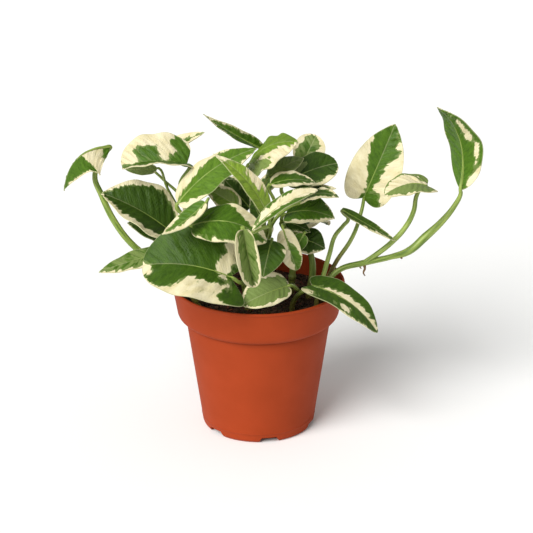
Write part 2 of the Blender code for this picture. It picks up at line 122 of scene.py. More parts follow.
# Outlines: how far the base lobes reach back, how far they curl up as they do, where along the
# midrib the blade is widest, and how fast it widens (smaller is fuller). The usual one, and what is
# different in the blades that don't have it.
USUAL_OUTLINE = {"lobe": 0.12, "curl": 0, "widest": 0.38, "fullness": 0.45}
OUTLINES = {
    "left_far": {"lobe": -0.3, "widest": 0.38, "fullness": 0.6},
    "left_hood": {"widest": 0.4, "fullness": 0.2},
    "top_left_spear": {"widest": 0.35, "fullness": 0.6},
    "front_left_broad": {"lobe": 0.45, "widest": 0.42, "fullness": 0.28},
    "centre_front": {"widest": 0.45},
    "front_low": {"widest": 0.45},
    "cream_hanging": {"widest": 0.5},
    "centre_curl": {"widest": 0.3, "fullness": 0.4},
    "top_centre": {"widest": 0.42, "fullness": 0.4},
    "top_right_round": {"widest": 0.5, "fullness": 0.4},
    "right_dark": {"widest": 0.6, "fullness": 0.5},
    "right_spear": {"widest": 0.6, "fullness": 0.7},
    "right_low": {"lobe": 0.5, "fullness": 0.35},
    "right_heart": {"lobe": 0.35},
    "right_level": {"lobe": 0.4, "curl": 0.3, "fullness": 0.25},
    "right_narrow": {"lobe": 0.3},
    "far_right": {"widest": 0.45, "fullness": 0.75},
}

# The four upright vines of the clump: root, middle and growing tip.
VINES = {
    "left": ((-24, -8, 82), (-27, -9, 105), (-34, -6, 130)),
    "front": ((-6, -20, 82), (-8, -26, 105), (-8, -27, 124)),
    "centre": ((2, 4, 82), (3, 2, 115), (2, 2, 146)),
    "right": ((20, 8, 82), (22, 8, 110), (24, 10, 138)),
}

# The leaf stalks of each vine, in the order they are grown in: leaf, and the height at which its
# stalk leaves the vine.
STALKS = {
    "left": {
        "left_hood": 124, "left_hood_low": 108, "left_back_tip": 127, "left_broad": 98,
        "left_under": 92, "low_left_point": 88, "small_over_left": 119, "centre_front": 101,
        "centre_left": 112, "cream_small": 104, "back_left": 106, "back_low_left": 96,
    },
    "front": {
        "front_left_broad": 90, "front_narrow": 94, "front_low_back": 86, "cream_strip": 98,
        "centre_fold": 102,
    },
    "centre": {
        "top_left_spear": 140, "centre_curl": 112, "top_centre": 136, "right_dark_left": 128,
        "right_edge": 120, "right_spear": 108, "right_mid_high": 118, "behind_mid_a": 116,
        "behind_mid_b": 122, "behind_low": 110, "back_centre": 104, "back_high": 134,
        "back_high_left": 124,
    },
    "right": {
        "front_low": 88, "cream_hanging": 106, "top_right_round": 136, "right_dark": 126,
        "right_mid_tip": 132, "right_mid_low": 112, "right_low_dark": 106, "right_round_left": 104,
        "back_right": 112,
    },
}

# A point through which a stalk is led where it has to pass round another leaf.
STALK_VIA = {
    "left_hood": (-46, -2, 154), "left_hood_low": (-54, 5, 150), "small_over_left": (-30, -24, 150),
    "centre_front": (-41, -31, 148), "centre_left": (-44, -28, 146), "front_narrow": (-8, -61, 140),
    "right_edge": (10, -16, 148), "right_spear": (6, -38, 142), "right_mid_high": (18, -16, 146),
    "front_low": (24, -14, 92), "right_round_left": (24, -8, 122),
}

# Single stalks and the long trailing vine: the points they run through from the soil up, each with
# its radius.
RUNNERS = {
    "stalk_left_far": [
        ((-36, -17, 83), 2.0), ((-56, -17, 108), 2.0), ((-73, -16, 121), 2.0), ((-84, -14, 135), 2.0),
        ((-92, -10, 151), 1.9), ((-96, -7, 163), 1.6), ((-88, -7, 178), 1.3),
    ],
    "stalk_right_heart": [
        ((40, 4, 83), 1.5), ((46, 4, 101), 1.4), ((57, 6, 119), 1.3), ((62, 13, 131), 1.2),
        ((64, 19, 138), 1.1),
    ],
    "stalk_right_narrow": [
        ((35, -13, 83), 1.5), ((39, -9, 99), 1.5), ((43, -5, 113), 1.4), ((46, -1, 122), 1.3),
        ((51, 1, 128), 1.2), ((54, 2, 132), 1.2), ((51, 1, 136), 1.1),
    ],
    "stalk_right_low": [
        ((20, -21, 83), 1.6), ((22, -22, 90), 1.5), ((27, -26, 97), 1.5), ((31, -29, 100), 1.3),
    ],
    "stalk_right_round": [
        ((31, 0, 83), 2.2), ((33, 2, 100), 2.0), ((31, 4, 111), 1.7), ((27, 2, 118), 1.3),
    ],
    "trailing_vine": [
        ((38, -6, 83), 1.7), ((42, -4, 93), 1.7), ((48, -2, 100), 1.7), ((64, 1, 104), 1.9),
        ((80, 3, 107), 1.7), ((91, 5, 110), 2.4), ((101, 8, 118), 2.6), ((112, 11, 128), 2.0),
        ((119, 13, 137), 1.6), ((122, 13, 144), 1.3),
    ],
}

# The trailing vine's side stalk, which carries the level leaf.
SIDE_STALK = [
    ((64, 1, 104), 1.6), ((72, 1, 110), 1.6), ((80, 1, 117), 1.6), ((88, 2, 126), 1.6),
    ((93, 3, 136), 1.5), ((95, 4, 147), 1.3), ((99, 4, 153), 1.1),
]

# How each blade is marked: how far green reaches from the midrib towards the left and the right
# margin at the base, a quarter, half, three quarters and the tip (1 is the margin); its tone, from 0,
# dark green, to 1, yellow-green; and how much of the silvery green there is.
STATIONS = (0, 0.25, 0.5, 0.75, 1)
FULL = (1, 1, 1, 1, 1)
MARKINGS = {
    "left_far": ((1, 0.95, 0.85, 0.85, 0.6), (1, 0.95, 0.9, 0.9, 0.8), 0.5, 0.1),
    "left_hood": ((0.95, 0.9, 0.88, 0.9, 0.8), (0.95, 0.75, 0.12, 0.1, 0.1), 0.45, 0.3),
    "left_hood_low": (FULL, FULL, 0.5, 0.9),
    "left_back_tip": ((0.1, 0.1, 0.1, 0.1, 0), (0.1, 0.55, 0.5, 0.4, 0.2), 0.5, 0.2),
    "top_left_spear": ((0.9, 0.9, 0.85, 0.7, 0.5), (1, 1, 0.9, 0.8, 0.3), 0.5, 0.1),
    "left_broad": ((0.7, 0.78, 0.76, 0.78, 0.6), (0.8, 0.86, 0.88, 0.84, 0.7), 0.12, 0.05),
    "left_under": (FULL, FULL, 0.2, 0.1),
    "low_left_point": ((0.9, 0.85, 0.85, 0.8, 0.6), FULL, 0.4, 0.55),
    "front_left_broad": ((0.35, 0.42, 0.36, 0.88, 0.95), FULL, 0.22, 0.05),
    "small_over_left": ((0.4, 0.35, 0.3, 0.3, 0), (1, 1, 0.9, 0.6, 0.1), 0.5, 0.2),
    "centre_front": ((1, 1.1, 0.75, 0.3, 0.1), (0.95, 0.92, 0.92, 0.8, 0.3), 0.42, 0.2),
    "front_narrow": ((0.8, 0.82, 0.82, 0.8, 0.6), (0.7, 0.75, 0.8, 0.8, 0.6), 0.3, 0.6),
    "front_low": ((0.9, 0.86, 0.84, 0.84, 0.4), (0.9, 0.88, 0.86, 0.8, 0.4), 0.5, 0.95),
    "front_low_back": ((0.8, 0.8, 0.85, 0.9, 1), (0.6, 0.7, 0.8, 0.8, 1), 0.5, 0.1),
    "cream_strip": ((0, 0.1, 0.15, 0.1, 0), (0.1, 0.3, 0.2, 0.1, 0), 0.7, 0.4),
    "centre_fold": ((1, 0.9, 1, 1, 1), (0.9, 0.85, 0.95, 1, 1), 0.25, 0.3),
    "cream_hanging": ((0, 0.2, 0.6, 0.8, 0.5), (0, 0, 0.1, 0.1, 0), 0.5, 0.3),
    "centre_curl": ((1, 1, 1, 1, 0.9), (1, 1, 1, 0.95, 0.9), 0.85, 0.1),
    "centre_left": ((0.1, 0.4, 0.7, 0.96, 1), (0.4, 0.9, 1, 0.97, 0.9), 0.55, 0.2),
    "top_centre": (FULL, (0.35, 0.32, 0.28, 0.25, 0.6), 0.72, 0.1),
    "top_right_round": ((0.8, 0.75, 0.7, 0.6, 0.5), (0.7, 0.65, 0.55, 0.45, 0.3), 0.4, 0.5),
    "right_dark": ((0.6, 0.8, 1, 1, 1), (1, 1, 0.9, 0.75, 0.9), 0.12, 0.2),
    "right_dark_left": (FULL, FULL, 0.5, 0.95),
    "right_edge": ((0.6, 0.7, 0.75, 0.7, 0.5), (0.5, 0.65, 0.7, 0.7, 0.5), 0.3, 0.2),
    "right_spear": (FULL, FULL, 0.4, 0.3),
    "right_mid_high": ((0.6, 0.7, 0.7, 0.6, 0.3), (0.6, 0.65, 0.7, 0.6, 0.2), 0.15, 0.1),
    "right_mid_tip": ((0.7, 0.7, 0.7, 0.6, 0.3), (0.6, 0.6, 0.6, 0.5, 0.2), 0.15, 0.05),
    "right_mid_low": ((1, 1, 1, 0.95, 0.8), (0.9, 0.86, 0.85, 0.8, 0.5), 0.4, 0.1),
    "right_low_dark": (FULL, (1, 1, 0.9, 0.9, 0.8), 0.1, 0),
    "right_round": (FULL, (0.95, 0.92, 0.9, 0.85, 0.8), 0.1, 0.1),
    "right_round_left": (FULL, FULL, 0.5, 0),
    "right_low": (FULL, (1, 1, 0.95, 0.95, 1), 0.2, 0.15),
    "right_heart": ((0.05, 0.15, 0.45, 0.85, 1), (0.15, 0.22, 0.34, 0.96, 1), 0.42, 0.15),
    "right_level": ((0.85, 0.88, 0.88, 0.84, 0.5), FULL, 0.45, 0.7),
    "right_narrow": ((1, 1, 1, 0.85, 0.6), (1, 1, 0.9, 0.7, 0.4), 0.2, 0.3),
    "far_right": (FULL, (1, 0.97, 0.97, 1, 1), 0.5, 0),
    "behind_mid_a": ((0.7, 0.8, 0.8, 0.8, 0.6), (0.6, 0.7, 0.8, 0.7, 0.4), 0.7, 0.2),
    "behind_mid_b": ((0.9, 0.8, 0.7, 0.9, 1), (0.5, 0.5, 0.6, 0.9, 1), 0.15, 0.1),
    "behind_low": (FULL, FULL, 0.2, 0.4),
    "cream_small": ((0, 0.1, 0.2, 0.3, 0.2), (0, 0, 0.1, 0.1, 0), 0.5, 0.2),
    "back_left": ((0.8, 0.8, 0.75, 0.8, 0.6), (0.9, 0.6, 0.4, 0.7, 0.6), 0.3, 0.1),
    "back_low_left": ((0.7, 0.75, 0.8, 0.8, 0.6), (0.8, 0.9, 0.9, 0.8, 0.6), 0.2, 0.1),
    "back_centre": ((0.3, 0.3, 0.4, 0.7, 0.7), (0.8, 0.85, 0.8, 0.8, 0.7), 0.35, 0.2),
    "back_right": ((0.8, 0.8, 0.8, 0.7, 0.5), (0.7, 0.5, 0.4, 0.6, 0.5), 0.25, 0.1),
    "back_high": ((0.9, 0.8, 0.8, 0.8, 0.7), (0.8, 0.8, 0.7, 0.8, 0.7), 0.4, 0.2),
    "back_high_left": ((0.3, 0.4, 0.6, 0.8, 0.8), (0.8, 0.7, 0.8, 0.8, 0.8), 0.3, 0.2),
}

# Where green starts on a blade whose midrib it leaves bare: as above, left and right.
GREEN_FROM = {
    "right_spear": ((0.6, 0.55, 0.6, 0.7, 1), (0, 0.15, 0.35, 0.5, 0.8)),
    "right_low": ((0.1, 0.2, 0.3, 0.45, 0.6), None),
    "right_level": (None, (0.2, 0.72, 0.86, 0.86, 0.6)),
}

# Patches that break the usual pattern: (along, across, half length, half width, kind), the halves in
# millimetres.
PATCHES = {
    "left_far": ((0.27, -0.2, 6, 24, "cream"),),
    "left_hood": ((0.55, 0.3, 9, 6, "green"), (0.32, 0.5, 4, 8, "cream"), (0.14, 0.7, 5, 6, "green")),
    "front_left_broad": ((0.03, -0.86, 11, 8, "green"), (0.97, -0.4, 4, 4, "cream"),
                         (0.12, 0.6, 4, 13, "cream")),
    "centre_curl": ((0.42, 0.85, 8, 4, "cream"), (0.97, 0.3, 4, 2, "cream")),
    "top_centre": ((0.24, 0.7, 10, 6, "grey"),),
    "right_dark": ((0.1, 0.2, 6, 2, "cream"), (0.2, -0.5, 9, 4, "grey")),
    "right_low": ((0.5, 0.62, 3, 2, "cream"), (0.08, 0.8, 4, 3, "cream")),
    "right_heart": ((0.78, 0.85, 3, 2, "cream"), (0, 0.5, 9, 6, "green")),
    "far_right": ((0.62, -0.5, 8, 2.4, "cream"), (0.4, -0.7, 8, 1.2, "cream"),
                  (0.17, -0.95, 6, 3, "cream")),
    "behind_mid_a": ((0.5, 0.3, 7, 3, "grey"),),
}

# The blade at the end of each of them.
RUNNER_LEAF = {
    "stalk_left_far": "left_far",
    "stalk_right_heart": "right_heart",
    "stalk_right_narrow": "right_narrow",
    "stalk_right_low": "right_low",
    "stalk_right_round": "right_round",
    "trailing_vine": "far_right",
}

# Thin brown roots and a bud that hang from the nodes of the trailing vine: points and radii.
AERIAL_ROOTS = {
    "node_root": [((64, 1, 103), 1.1), ((64.4, -1, 101), 0.7), ((63.6, -1.5, 98.5), 0.5),
                  ((64.6, -1.5, 96.5), 0.3)],
    "node_root_small": [((62, 1, 103), 0.8), ((61.6, 0, 101.5), 0.5), ((62.4, 0, 100.6), 0.25)],
    "bend_bud": [((86, 4, 108), 1.3), ((86.6, 3, 106.6), 0.8), ((87, 3, 105.8), 0.4)],
}

# Nodes, where a vine thickens: how far apart they are, how much thicker, and how far to each side.
NODE_SPACING = 21
NODE_SWELL = 0.55
NODE_LENGTH = 1.6

# Stalks that leave their vine inside a broad sheath: how much thicker they start.
SHEATHS = {"left_hood": 1.3, "left_broad": 0.5, "centre_left": 0.5, "right_dark": 0.6, "top_centre": 0.5}

STALK_BASE_RADIUS = 1.5
STALK_TIP_RADIUS = 1.0
# How a stalk bends, in shares of its span: it rises steeply, leans out a little, and comes into its
# leaf along the midrib from slightly below.
STALK_RISE = 0.45
STALK_LEAN = 0.12
STALK_ARRIVAL = 0.3
STALK_DIP = 0.08
# How far short of the blade's base a stalk's own run ends, and its points where it isn't led.
STALK_GAP = 1.7
STALK_POINTS = 6
# The rib under a blade: how far along the midrib it is how thick, as a share of the stalk's tip.
RIB = ((0.01, 1.0), (0.1, 0.85), (0.25, 0.6), (0.45, 0.42), (0.68, 0.28))
RIB_SINK = 0.75
VINE_RADIUS = 2.0
VINE_POINTS = 7
FINE_POINTS = 60
ROOT_DEPTH = 6
SOIL_TOP = SOIL_HIGH.z / MM

WELD = 0.01 * MM
SMOOTH_ANGLE = math.radians(40)
BLADE_SMOOTH_ANGLE = math.radians(60)


def linear(code):
    """An sRGB hex colour as linear red, green and blue."""
    channels = [int(code[i:i + 2], 16) / 255 for i in (1, 3, 5)]
    return tuple(c / 12.92 if c <= 0.04045 else ((c + 0.055) / 1.055) ** 2.4 for c in channels)


def scaled(colour, factor):
    return tuple(factor * channel for channel in colour)


def colour_setting(name, code, description):
    return FloatVectorProperty(
        name=name, description=description, default=linear(code), subtype="COLOR", size=3, min=0, max=1)


def length_setting(name, metres, description):
    return FloatProperty(
        name=name, description=description, default=metres, min=0, unit="LENGTH", precision=5)


class PothosPot(bpy.types.PropertyGroup):
    rim_radius: length_setting("Rim radius", POT_HIGH.x, "Half the width of the pot across its rim")
    height: length_setting("Height", POT_HIGH.z, "Height of the pot")
    foot_radius: length_setting("Foot radius", 0.0336, "Radius at the bottom of the wall")
    shoulder_radius: length_setting("Shoulder radius", 0.0442, "Radius of the body just under the collar")
    shoulder_height: length_setting("Shoulder height", 0.0704, "Height where the body meets the step")
    collar_radius: length_setting("Collar radius", 0.0494, "Radius of the collar at its foot")
    collar_foot: length_setting("Collar foot", 0.074, "Height of the collar's lower edge")
    wall: length_setting("Wall", 0.0013, "Thickness of the moulded wall")
    floor_top: length_setting("Floor", 0.0018, "Height of the inside floor")
    segments: IntProperty(name="Segments", description="Faces round the pot", default=144, min=24)
    colour: colour_setting("Plastic", "#9d3b16", "Colour of the moulded plastic")
    shade: colour_setting("Plastic, deep", "#8b3412", "Colour where the pigment is denser")


class PothosSoil(bpy.types.PropertyGroup):
    crumbs: IntProperty(name="Crumbs", description="Number of loose crumbs", default=1500, min=0)
    chips: IntProperty(name="Chips", description="Number of bark chips", default=170, min=0)
    tufts: IntProperty(name="Moss tufts", description="Number of moss tufts", default=150, min=0)
    bumps: length_setting("Bumps", 0.0022, "How uneven the top of the compost is")
    colour: colour_setting("Compost", "#26170d", "Colour of the damp compost")
    chip_colour: colour_setting("Bark", "#6a3119", "Colour of the bark chips")
    moss_colour: colour_setting("Moss", "#505a24", "Colour of the moss")


class PothosStems(bpy.types.PropertyGroup):
    colour: colour_setting("Stem", "#98aa52", "Colour of the fresh stems")
    deep: colour_setting("Stem, deep", "#5b7526", "Colour of the darker stretches")
    brown: colour_setting("Cork", "#7a5a30", "Colour of aerial roots and old nodes")
    rings: IntProperty(name="Smoothness", description="Rings between two points", default=6, min=1)


class PothosLeaves(bpy.types.PropertyGroup):
    rows: IntProperty(name="Rows", description="Faces along a blade", default=52, min=8)
    columns: IntProperty(name="Columns", description="Faces across a blade", default=32, min=4)
    thickness: length_setting("Thickness", 0.00045, "Thickness of a blade")
    quilting: length_setting("Quilting", 0.00055, "How far a blade swells between its side veins")
    wave: length_setting("Wave", 0.0009, "How far the margins of a broad blade ripple")
    vein_spacing: length_setting("Vein spacing", 0.0052, "Distance between side veins along the midrib")
    dark: colour_setting("Dark green", "#263c07", "Colour of the darkest blades")
    middle: colour_setting("Green", "#426414", "Colour of most blades")
    light: colour_setting("Light green", "#809b31", "Colour of the youngest blades")
    silver: colour_setting("Grey-green", "#7f8f50", "Colour of the silvery areas")
    cream: colour_setting("Cream", "#e2d8b3", "Colour of the parts without green")
    underside: colour_setting("Underside", "#76861f", "What the underside is tinted towards")


class PothosStage(bpy.types.PropertyGroup):
    floor: colour_setting("Floor", "#f9f9f7", "Colour of the floor")
    sky: FloatProperty(name="Soft light", description="Light from all round", default=0.42, min=0)
    key: FloatProperty(name="Key light", description="Light from the left", default=3.6, min=0)
    softness: FloatProperty(
        name="Softness", description="How wide the key light is", default=math.radians(40), subtype="ANGLE")
    lens: FloatProperty(name="Lens", description="Focal length in millimetres", default=122.9, min=1)
    distance: length_setting("Distance", 1.1, "Distance of the camera")
    elevation: FloatProperty(
        name="Elevation", description="Angle above level", default=math.radians(22), subtype="ANGLE")


class PothosSettings(bpy.types.PropertyGroup):
    pot: PointerProperty(type=PothosPot, name="Pot", description="Sizes and colours of the pot")
    soil: PointerProperty(type=PothosSoil, name="Compost", description="Counts and colours of the compost")
    stems: PointerProperty(type=PothosStems, name="Stems", description="Colours of the stems")
    leaves: PointerProperty(type=PothosLeaves, name="Leaves", description="Sizes and colours of the blades")
    stage: PointerProperty(type=PothosStage, name="Stage", description="Floor, lights and camera")


# --- hand tools ---

def deselect():
    bpy.ops.object.select_all(action="DESELECT")


def pick(*objects):
    """Select these objects only, the last of them active."""
    deselect()
    for each in objects:
        each.select_set(True)
    bpy.context.view_layer.objects.active = objects[-1]


def edit():
    """Go into edit mode with everything selected."""
    bpy.ops.object.mode_set(mode="EDIT")
    if bpy.context.object.type == "MESH":
        bpy.ops.mesh.select_all(action="SELECT")
    else:
        bpy.ops.curve.select_all(action="SELECT")


def leave():
    bpy.ops.object.mode_set(mode="OBJECT")


def named(name):
    """Name the piece that has just been added, and its data."""
    piece = bpy.context.object
    piece.name = piece.data.name = name
    return piece


def tidy_mesh(piece):
    """Weld doubled points and turn all faces outwards."""
    pick(piece)
    edit()
    bpy.ops.mesh.remove_doubles(threshold=WELD)
    bpy.ops.mesh.normals_make_consistent(inside=False)
    leave()


def finish_piece(piece, slot, materials, *stands_for):
    """Set a piece down at the origin, give it its materials and tie it to the frame."""
    pick(piece)
    bpy.ops.object.transform_apply(location=True, rotation=True, scale=True)
    piece.data.materials.clear()
    for material in materials:
        piece.data.materials.append(material)
    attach(piece, BODY)
    if stands_for:
        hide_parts(*stands_for)


def apply_modifiers(piece):
    pick(piece)
    for modifier in list(piece.modifiers):
        bpy.ops.object.modifier_apply(modifier=modifier.name)


def feed(node, inputs):
    """Give a node's inputs their values, or link them where they are given a socket."""
    for key, value in inputs.items():
        socket = node.inputs[key]
        if isinstance(value, bpy.types.NodeSocket):
            node.id_data.links.new(value, socket)
        else:
            socket.default_value = (*value, 1) if socket.type == "RGBA" else value


def add_node(tree, kind, inputs, out=0, **choices):
    """Add a shader node with its settings and links, and return its output named or numbered out."""
    node = tree.nodes.new("ShaderNode" + kind)
    for choice, value in choices.items():
        setattr(node, choice, value)
    feed(node, inputs)
    return node.outputs[out]


def new_surface(name):
    """An empty material, the function that adds nodes to it, and its Principled shader."""
    material = bpy.data.materials.new(name)
    material.use_nodes = True
    tree = material.node_tree
    return material, partial(add_node, tree), tree.nodes["Principled BSDF"]


# a Mix node set to colours: its two colour inputs, and its settings
MIX_A, MIX_B, MIXED = 6, 7, {"out": 2, "data_type": "RGBA"}


# --- pot ---

def pot_rings(pot):
    """(radius, height) of each ring of the pot: up its outside, over the lip and down its inside."""
    foot, shoulder, collar, rim = pot.foot_radius, pot.shoulder_radius, pot.collar_radius, pot.rim_radius
    wall, height, step, skirt = pot.wall, pot.height, pot.shoulder_height, pot.collar_foot
    edge = 1.2 * MM  # radius of the moulded edges
    seam, ridge = 6 * MM, 0.12 * MM  # height and size of the thin line round the foot
    below = 12 * MM  # the body keeps its slope down to here under its shoulder
    slope = (shoulder - foot - edge) / (step - 3 * edge)
    at_seam = foot + edge + slope * (seam - 3 * edge)
    throat = rim - 0.5 * MM
    outside = [
        (foot - 3 * edge, 0), (foot - edge, 0), (foot - edge / 2, 0.1 * edge), (foot, 0.4 * edge),
        (foot + edge / 2, edge), (foot + 0.85 * edge, 2 * edge), (foot + edge, 3 * edge),
        (at_seam, seam), (at_seam + ridge, seam + ridge), (at_seam + ridge, seam + 3 * ridge),
        (at_seam, seam + 4 * ridge), (shoulder - below * slope, step - below),
        (shoulder, step), (shoulder - 0.2 * edge, step + 0.5 * edge),
        (shoulder + 0.1 * edge, step + 0.8 * edge),
        (shoulder + 0.9 * edge, step + 0.3 * edge),
        (shoulder + 1.5 * edge, step + 0.5 * edge),
        (collar - 1.3 * edge, skirt - 1.5 * edge),
        (collar - 0.6 * edge, skirt - 0.7 * edge),
        (collar - 0.15 * edge, skirt + 0.4 * edge), (collar, skirt + 1.4 * edge),
    ]
    lip = [
        (throat - 0.12 * MM, height - 2.9 * MM), (throat - 0.1 * MM, height - 1.9 * MM),
        (throat + 0.1 * MM, height - 1.6 * MM), (rim, height - 1.3 * MM), (rim, height - 0.6 * MM),
        (rim - 0.15 * MM, height - 0.2 * MM), (rim - 0.45 * MM, height), (rim - wall + 0.3 * MM, height),
        (rim - wall, height - 0.3 * MM), (rim - wall - 0.1 * MM, height - 1.2 * MM),
    ]
    inside = [
        (collar - wall, skirt + edge), (collar - wall - 0.5 * edge, skirt - 0.1 * edge),
        (collar - wall - 1.2 * edge, skirt - 0.5 * edge),
        (shoulder - wall + 0.6 * edge, step + 1.6 * edge),
        (shoulder - wall, step + edge),
        (foot - wall + edge / 2, pot.floor_top + 2 * edge), (foot - wall, pot.floor_top + edge / 2),
        (foot - wall - edge / 2, pot.floor_top), (foot - 4 * edge, pot.floor_top),
    ]
    return outside + lip + inside


def raise_ring(start, end):
    """Extrude the selected ring from one (radius, height) to the next."""
    bpy.ops.mesh.extrude_region_move(TRANSFORM_OT_translate={"value": (0, 0, end[1] - start[1])})
    grow = end[0] / start[0]
    bpy.ops.transform.resize(value=(grow, grow, 1), center_override=(0, 0, end[1]))


def close_ring():
    """Close the selected ring with a fan of faces to its middle."""
    bpy.ops.mesh.extrude_region_move(TRANSFORM_OT_translate={"value": (0, 0, 0)})
    bpy.ops.mesh.merge(type="CENTER")


def drain_notches(pot):
    """One cutter with six notches across the bottom corner of the pot, each narrower at its top."""
    first, count = math.radians(-79), 6
    width, top_width, depth, height = 17, 9, 10, 7.2
    bpy.ops.mesh.primitive_cube_add(size=1)
    cutter = named("notch_cutter")
    for corner in cutter.data.vertices:
        across = top_width if corner.co.z > 0 else width
        out = pot.foot_radius + corner.co.x * depth * MM
        corner.co = Vector((out, corner.co.y * across * MM, corner.co.z * height * MM))
    cutter.data.transform(Matrix.Rotation(first, 4, "Z"))
    edit()
    turn = 2 * math.pi * (count - 1) / count
    bpy.ops.mesh.spin(steps=count - 1, angle=turn, dupli=True, center=(0, 0, 0), axis=(0, 0, 1))
    bpy.ops.mesh.select_all(action="SELECT")
    bpy.ops.mesh.normals_make_consistent(inside=False)
    leave()
    return cutter


def moulded_polypropylene(pot):
    # Injection-moulded polypropylene: an even satin skin with a soft broad highlight, pigment that
    # varies a little in slow clouds, painted shade as a dark band in the crease under the collar, and a
    # very fine spark-eroded grain.
    cloud_size, grain_size, grain_depth = 22 * MM, 0.6 * MM, 0.08 * MM
    # how far the painted shade in the crease under the collar reaches from the shoulder height, and where
    # it is darkest
    collar_shade_reach, collar_shade_core = 0.9 * MM, 0.2 * MM
    material, add, shader = new_surface("moulded_polypropylene")
    place = add("TexCoord", {}, "Object")
    clouds = add("TexNoise", {"Vector": place, "Scale": 1 / cloud_size, "Detail": 3, "Roughness": 0.5})
    amount = add("MapRange", {"Value": clouds, "From Min": 0.35, "From Max": 0.75, "To Max": 0.45})
    colour = add("Mix", {0: amount, MIX_A: pot.colour, MIX_B: pot.shade}, **MIXED)
    height = add("SeparateXYZ", {0: place}, "Z")
    # painted shade: a darker band round the body at the shoulder height, under the collar's step
    off_step = add("Math", {0: height, 1: pot.shoulder_height}, operation="SUBTRACT")
    off_step = add("Math", {0: off_step}, operation="ABSOLUTE")
    collar_shade_mask = add("MapRange", {"Value": off_step, "From Min": collar_shade_reach, "From Max": collar_shade_core,
                             "To Max": 0.5})
    colour = add("Mix", {0: collar_shade_mask, MIX_A: colour, MIX_B: scaled(pot.shade, 0.3)}, **MIXED)
    grain = add("TexNoise", {"Vector": place, "Scale": 1 / grain_size, "Detail": 2})
    rough = add("MapRange", {"Value": clouds, "From Min": 0.3, "From Max": 0.7,
                             "To Min": 0.6, "To Max": 0.7})
    bump = add("Bump", {"Height": grain, "Strength": 0.35, "Distance": grain_depth})
    feed(shader, {"Base Color": colour, "Roughness": rough, "Normal": bump, "IOR": 1.49,
                  "Specular IOR Level": 0.15})
    return material


def build_pot(pot):
    deselect()
    rings = pot_rings(pot)
    bpy.ops.mesh.primitive_circle_add(vertices=pot.segments, radius=rings[0][0], fill_type="NOTHING")
    piece = named("nursery_pot")
    edit()
    for start, end in zip(rings, rings[1:]):
        raise_ring(start, end)
    close_ring()
    bpy.ops.mesh.select_all(action="DESELECT")
    leave()
    for corner in piece.data.vertices:
        corner.select = math.isclose(corner.co.xy.length, rings[0][0], abs_tol=WELD) and corner.co.z < WELD
    bpy.ops.object.mode_set(mode="EDIT")
    bpy.ops.mesh.select_mode(type="VERT")
    close_ring()
    leave()
    tidy_mesh(piece)
    cutter = drain_notches(pot)
    cut = piece.modifiers.new("notches", "BOOLEAN")
    cut.operation, cut.solver, cut.object = "DIFFERENCE", "EXACT", cutter
    apply_modifiers(piece)
    bpy.data.objects.remove(cutter, do_unlink=True)
    pick(piece)
    bpy.ops.object.shade_smooth_by_angle(angle=SMOOTH_ANGLE)
    finish_piece(piece, "pot", [moulded_polypropylene(pot)], "pot")


# --- compost ---

def soil_height(x, y, bumps):
    """Height of the compost's top at a place, in metres: broad hollows and heaps, and fine ones."""
    broad = noise.noise(Vector((x, y, 0)) / (14 * MM))
    fine = noise.noise(Vector((x, y, 0.05)) / (3.4 * MM))
    return SOIL_HIGH.z - bumps / 2 + bumps * (0.6 * broad + 0.4 * fine)


def damp_compost(soil):
    # Peat compost: damp, so nearly black in its pores and brown on its crumbs, and rough all over.
    crumb_size, lump_size, relief_depth = 1.4 * MM, 1.9 * MM, 0.8 * MM
    material, add, shader = new_surface("damp_compost")
    place = add("TexCoord", {}, "Object")
    crumbs = add("TexNoise", {"Vector": place, "Scale": 1 / crumb_size, "Detail": 4, "Roughness": 0.7})
    lumps = add("TexVoronoi", {"Vector": place, "Scale": 1 / lump_size})
    spread = add("MapRange", {"Value": crumbs, "From Min": 0.4, "From Max": 0.72})
    brown = scaled(soil.colour, 4.2)
    colour = add("Mix", {0: spread, MIX_A: soil.colour, MIX_B: brown}, **MIXED)
    relief = add("Math", {0: crumbs, 1: lumps}, operation="ADD")
    bump = add("Bump", {"Height": relief, "Strength": 0.9, "Distance": relief_depth})
    feed(shader, {"Base Color": colour, "Normal": bump, "Roughness": 0.9,
                  "Specular IOR Level": 0.3})
    return material


def rough_bits(name, colour, dark, size, roughness):
    """A rough matt surface whose colour changes from bit to bit; size is a bit's width in metres."""
    material, add, shader = new_surface(name)
    place = add("TexCoord", {}, "Object")
    spots = add("TexNoise", {"Vector": place, "Scale": 1 / size, "Detail": 3, "Roughness": 0.6})
    spread = add("MapRange", {"Value": spots, "From Min": 0.35, "From Max": 0.65})
    mixed = add("Mix", {0: spread, MIX_A: dark, MIX_B: colour}, **MIXED)
    bump = add("Bump", {"Height": spots, "Strength": 0.6, "Distance": 0.4 * MM})
    feed(shader, {"Base Color": mixed, "Normal": bump, "Roughness": roughness})
    return material


def build_compost(soil, pot):
    """The body of compost, filling the pot, with an uneven top."""
    deselect()
    radius, sides, cuts = SOIL_HIGH.x, 72, 13
    bpy.ops.mesh.primitive_circle_add(vertices=sides, radius=radius, fill_type="TRIFAN")
    piece = named("compost")
    edit()
    bpy.ops.mesh.subdivide(number_cuts=cuts)
    bpy.ops.transform.translate(value=(0, 0, SOIL_HIGH.z))
    bpy.ops.mesh.region_to_loop()
    inner = pot.wall + 0.3 * MM
    step = 2.4 * MM
    rings = [
        (radius, SOIL_HIGH.z), (pot.collar_radius - inner, pot.collar_foot + step),
        (pot.collar_radius - step - inner, pot.collar_foot),
        (pot.shoulder_radius - inner, pot.shoulder_height + 1.8 * MM),
        (pot.foot_radius - inner, SOIL_LOW.z),
    ]
    for start, end in zip(rings, rings[1:]):
        raise_ring(start, end)
    close_ring()
    leave()
    for corner in piece.data.vertices:
        if corner.co.z > SOIL_HIGH.z - WELD:
            corner.co.z = soil_height(corner.co.x, corner.co.y, soil.bumps)
    tidy_mesh(piece)
    bpy.ops.object.shade_smooth_by_angle(angle=SMOOTH_ANGLE)
    finish_piece(piece, "soil", [damp_compost(soil)], "soil")


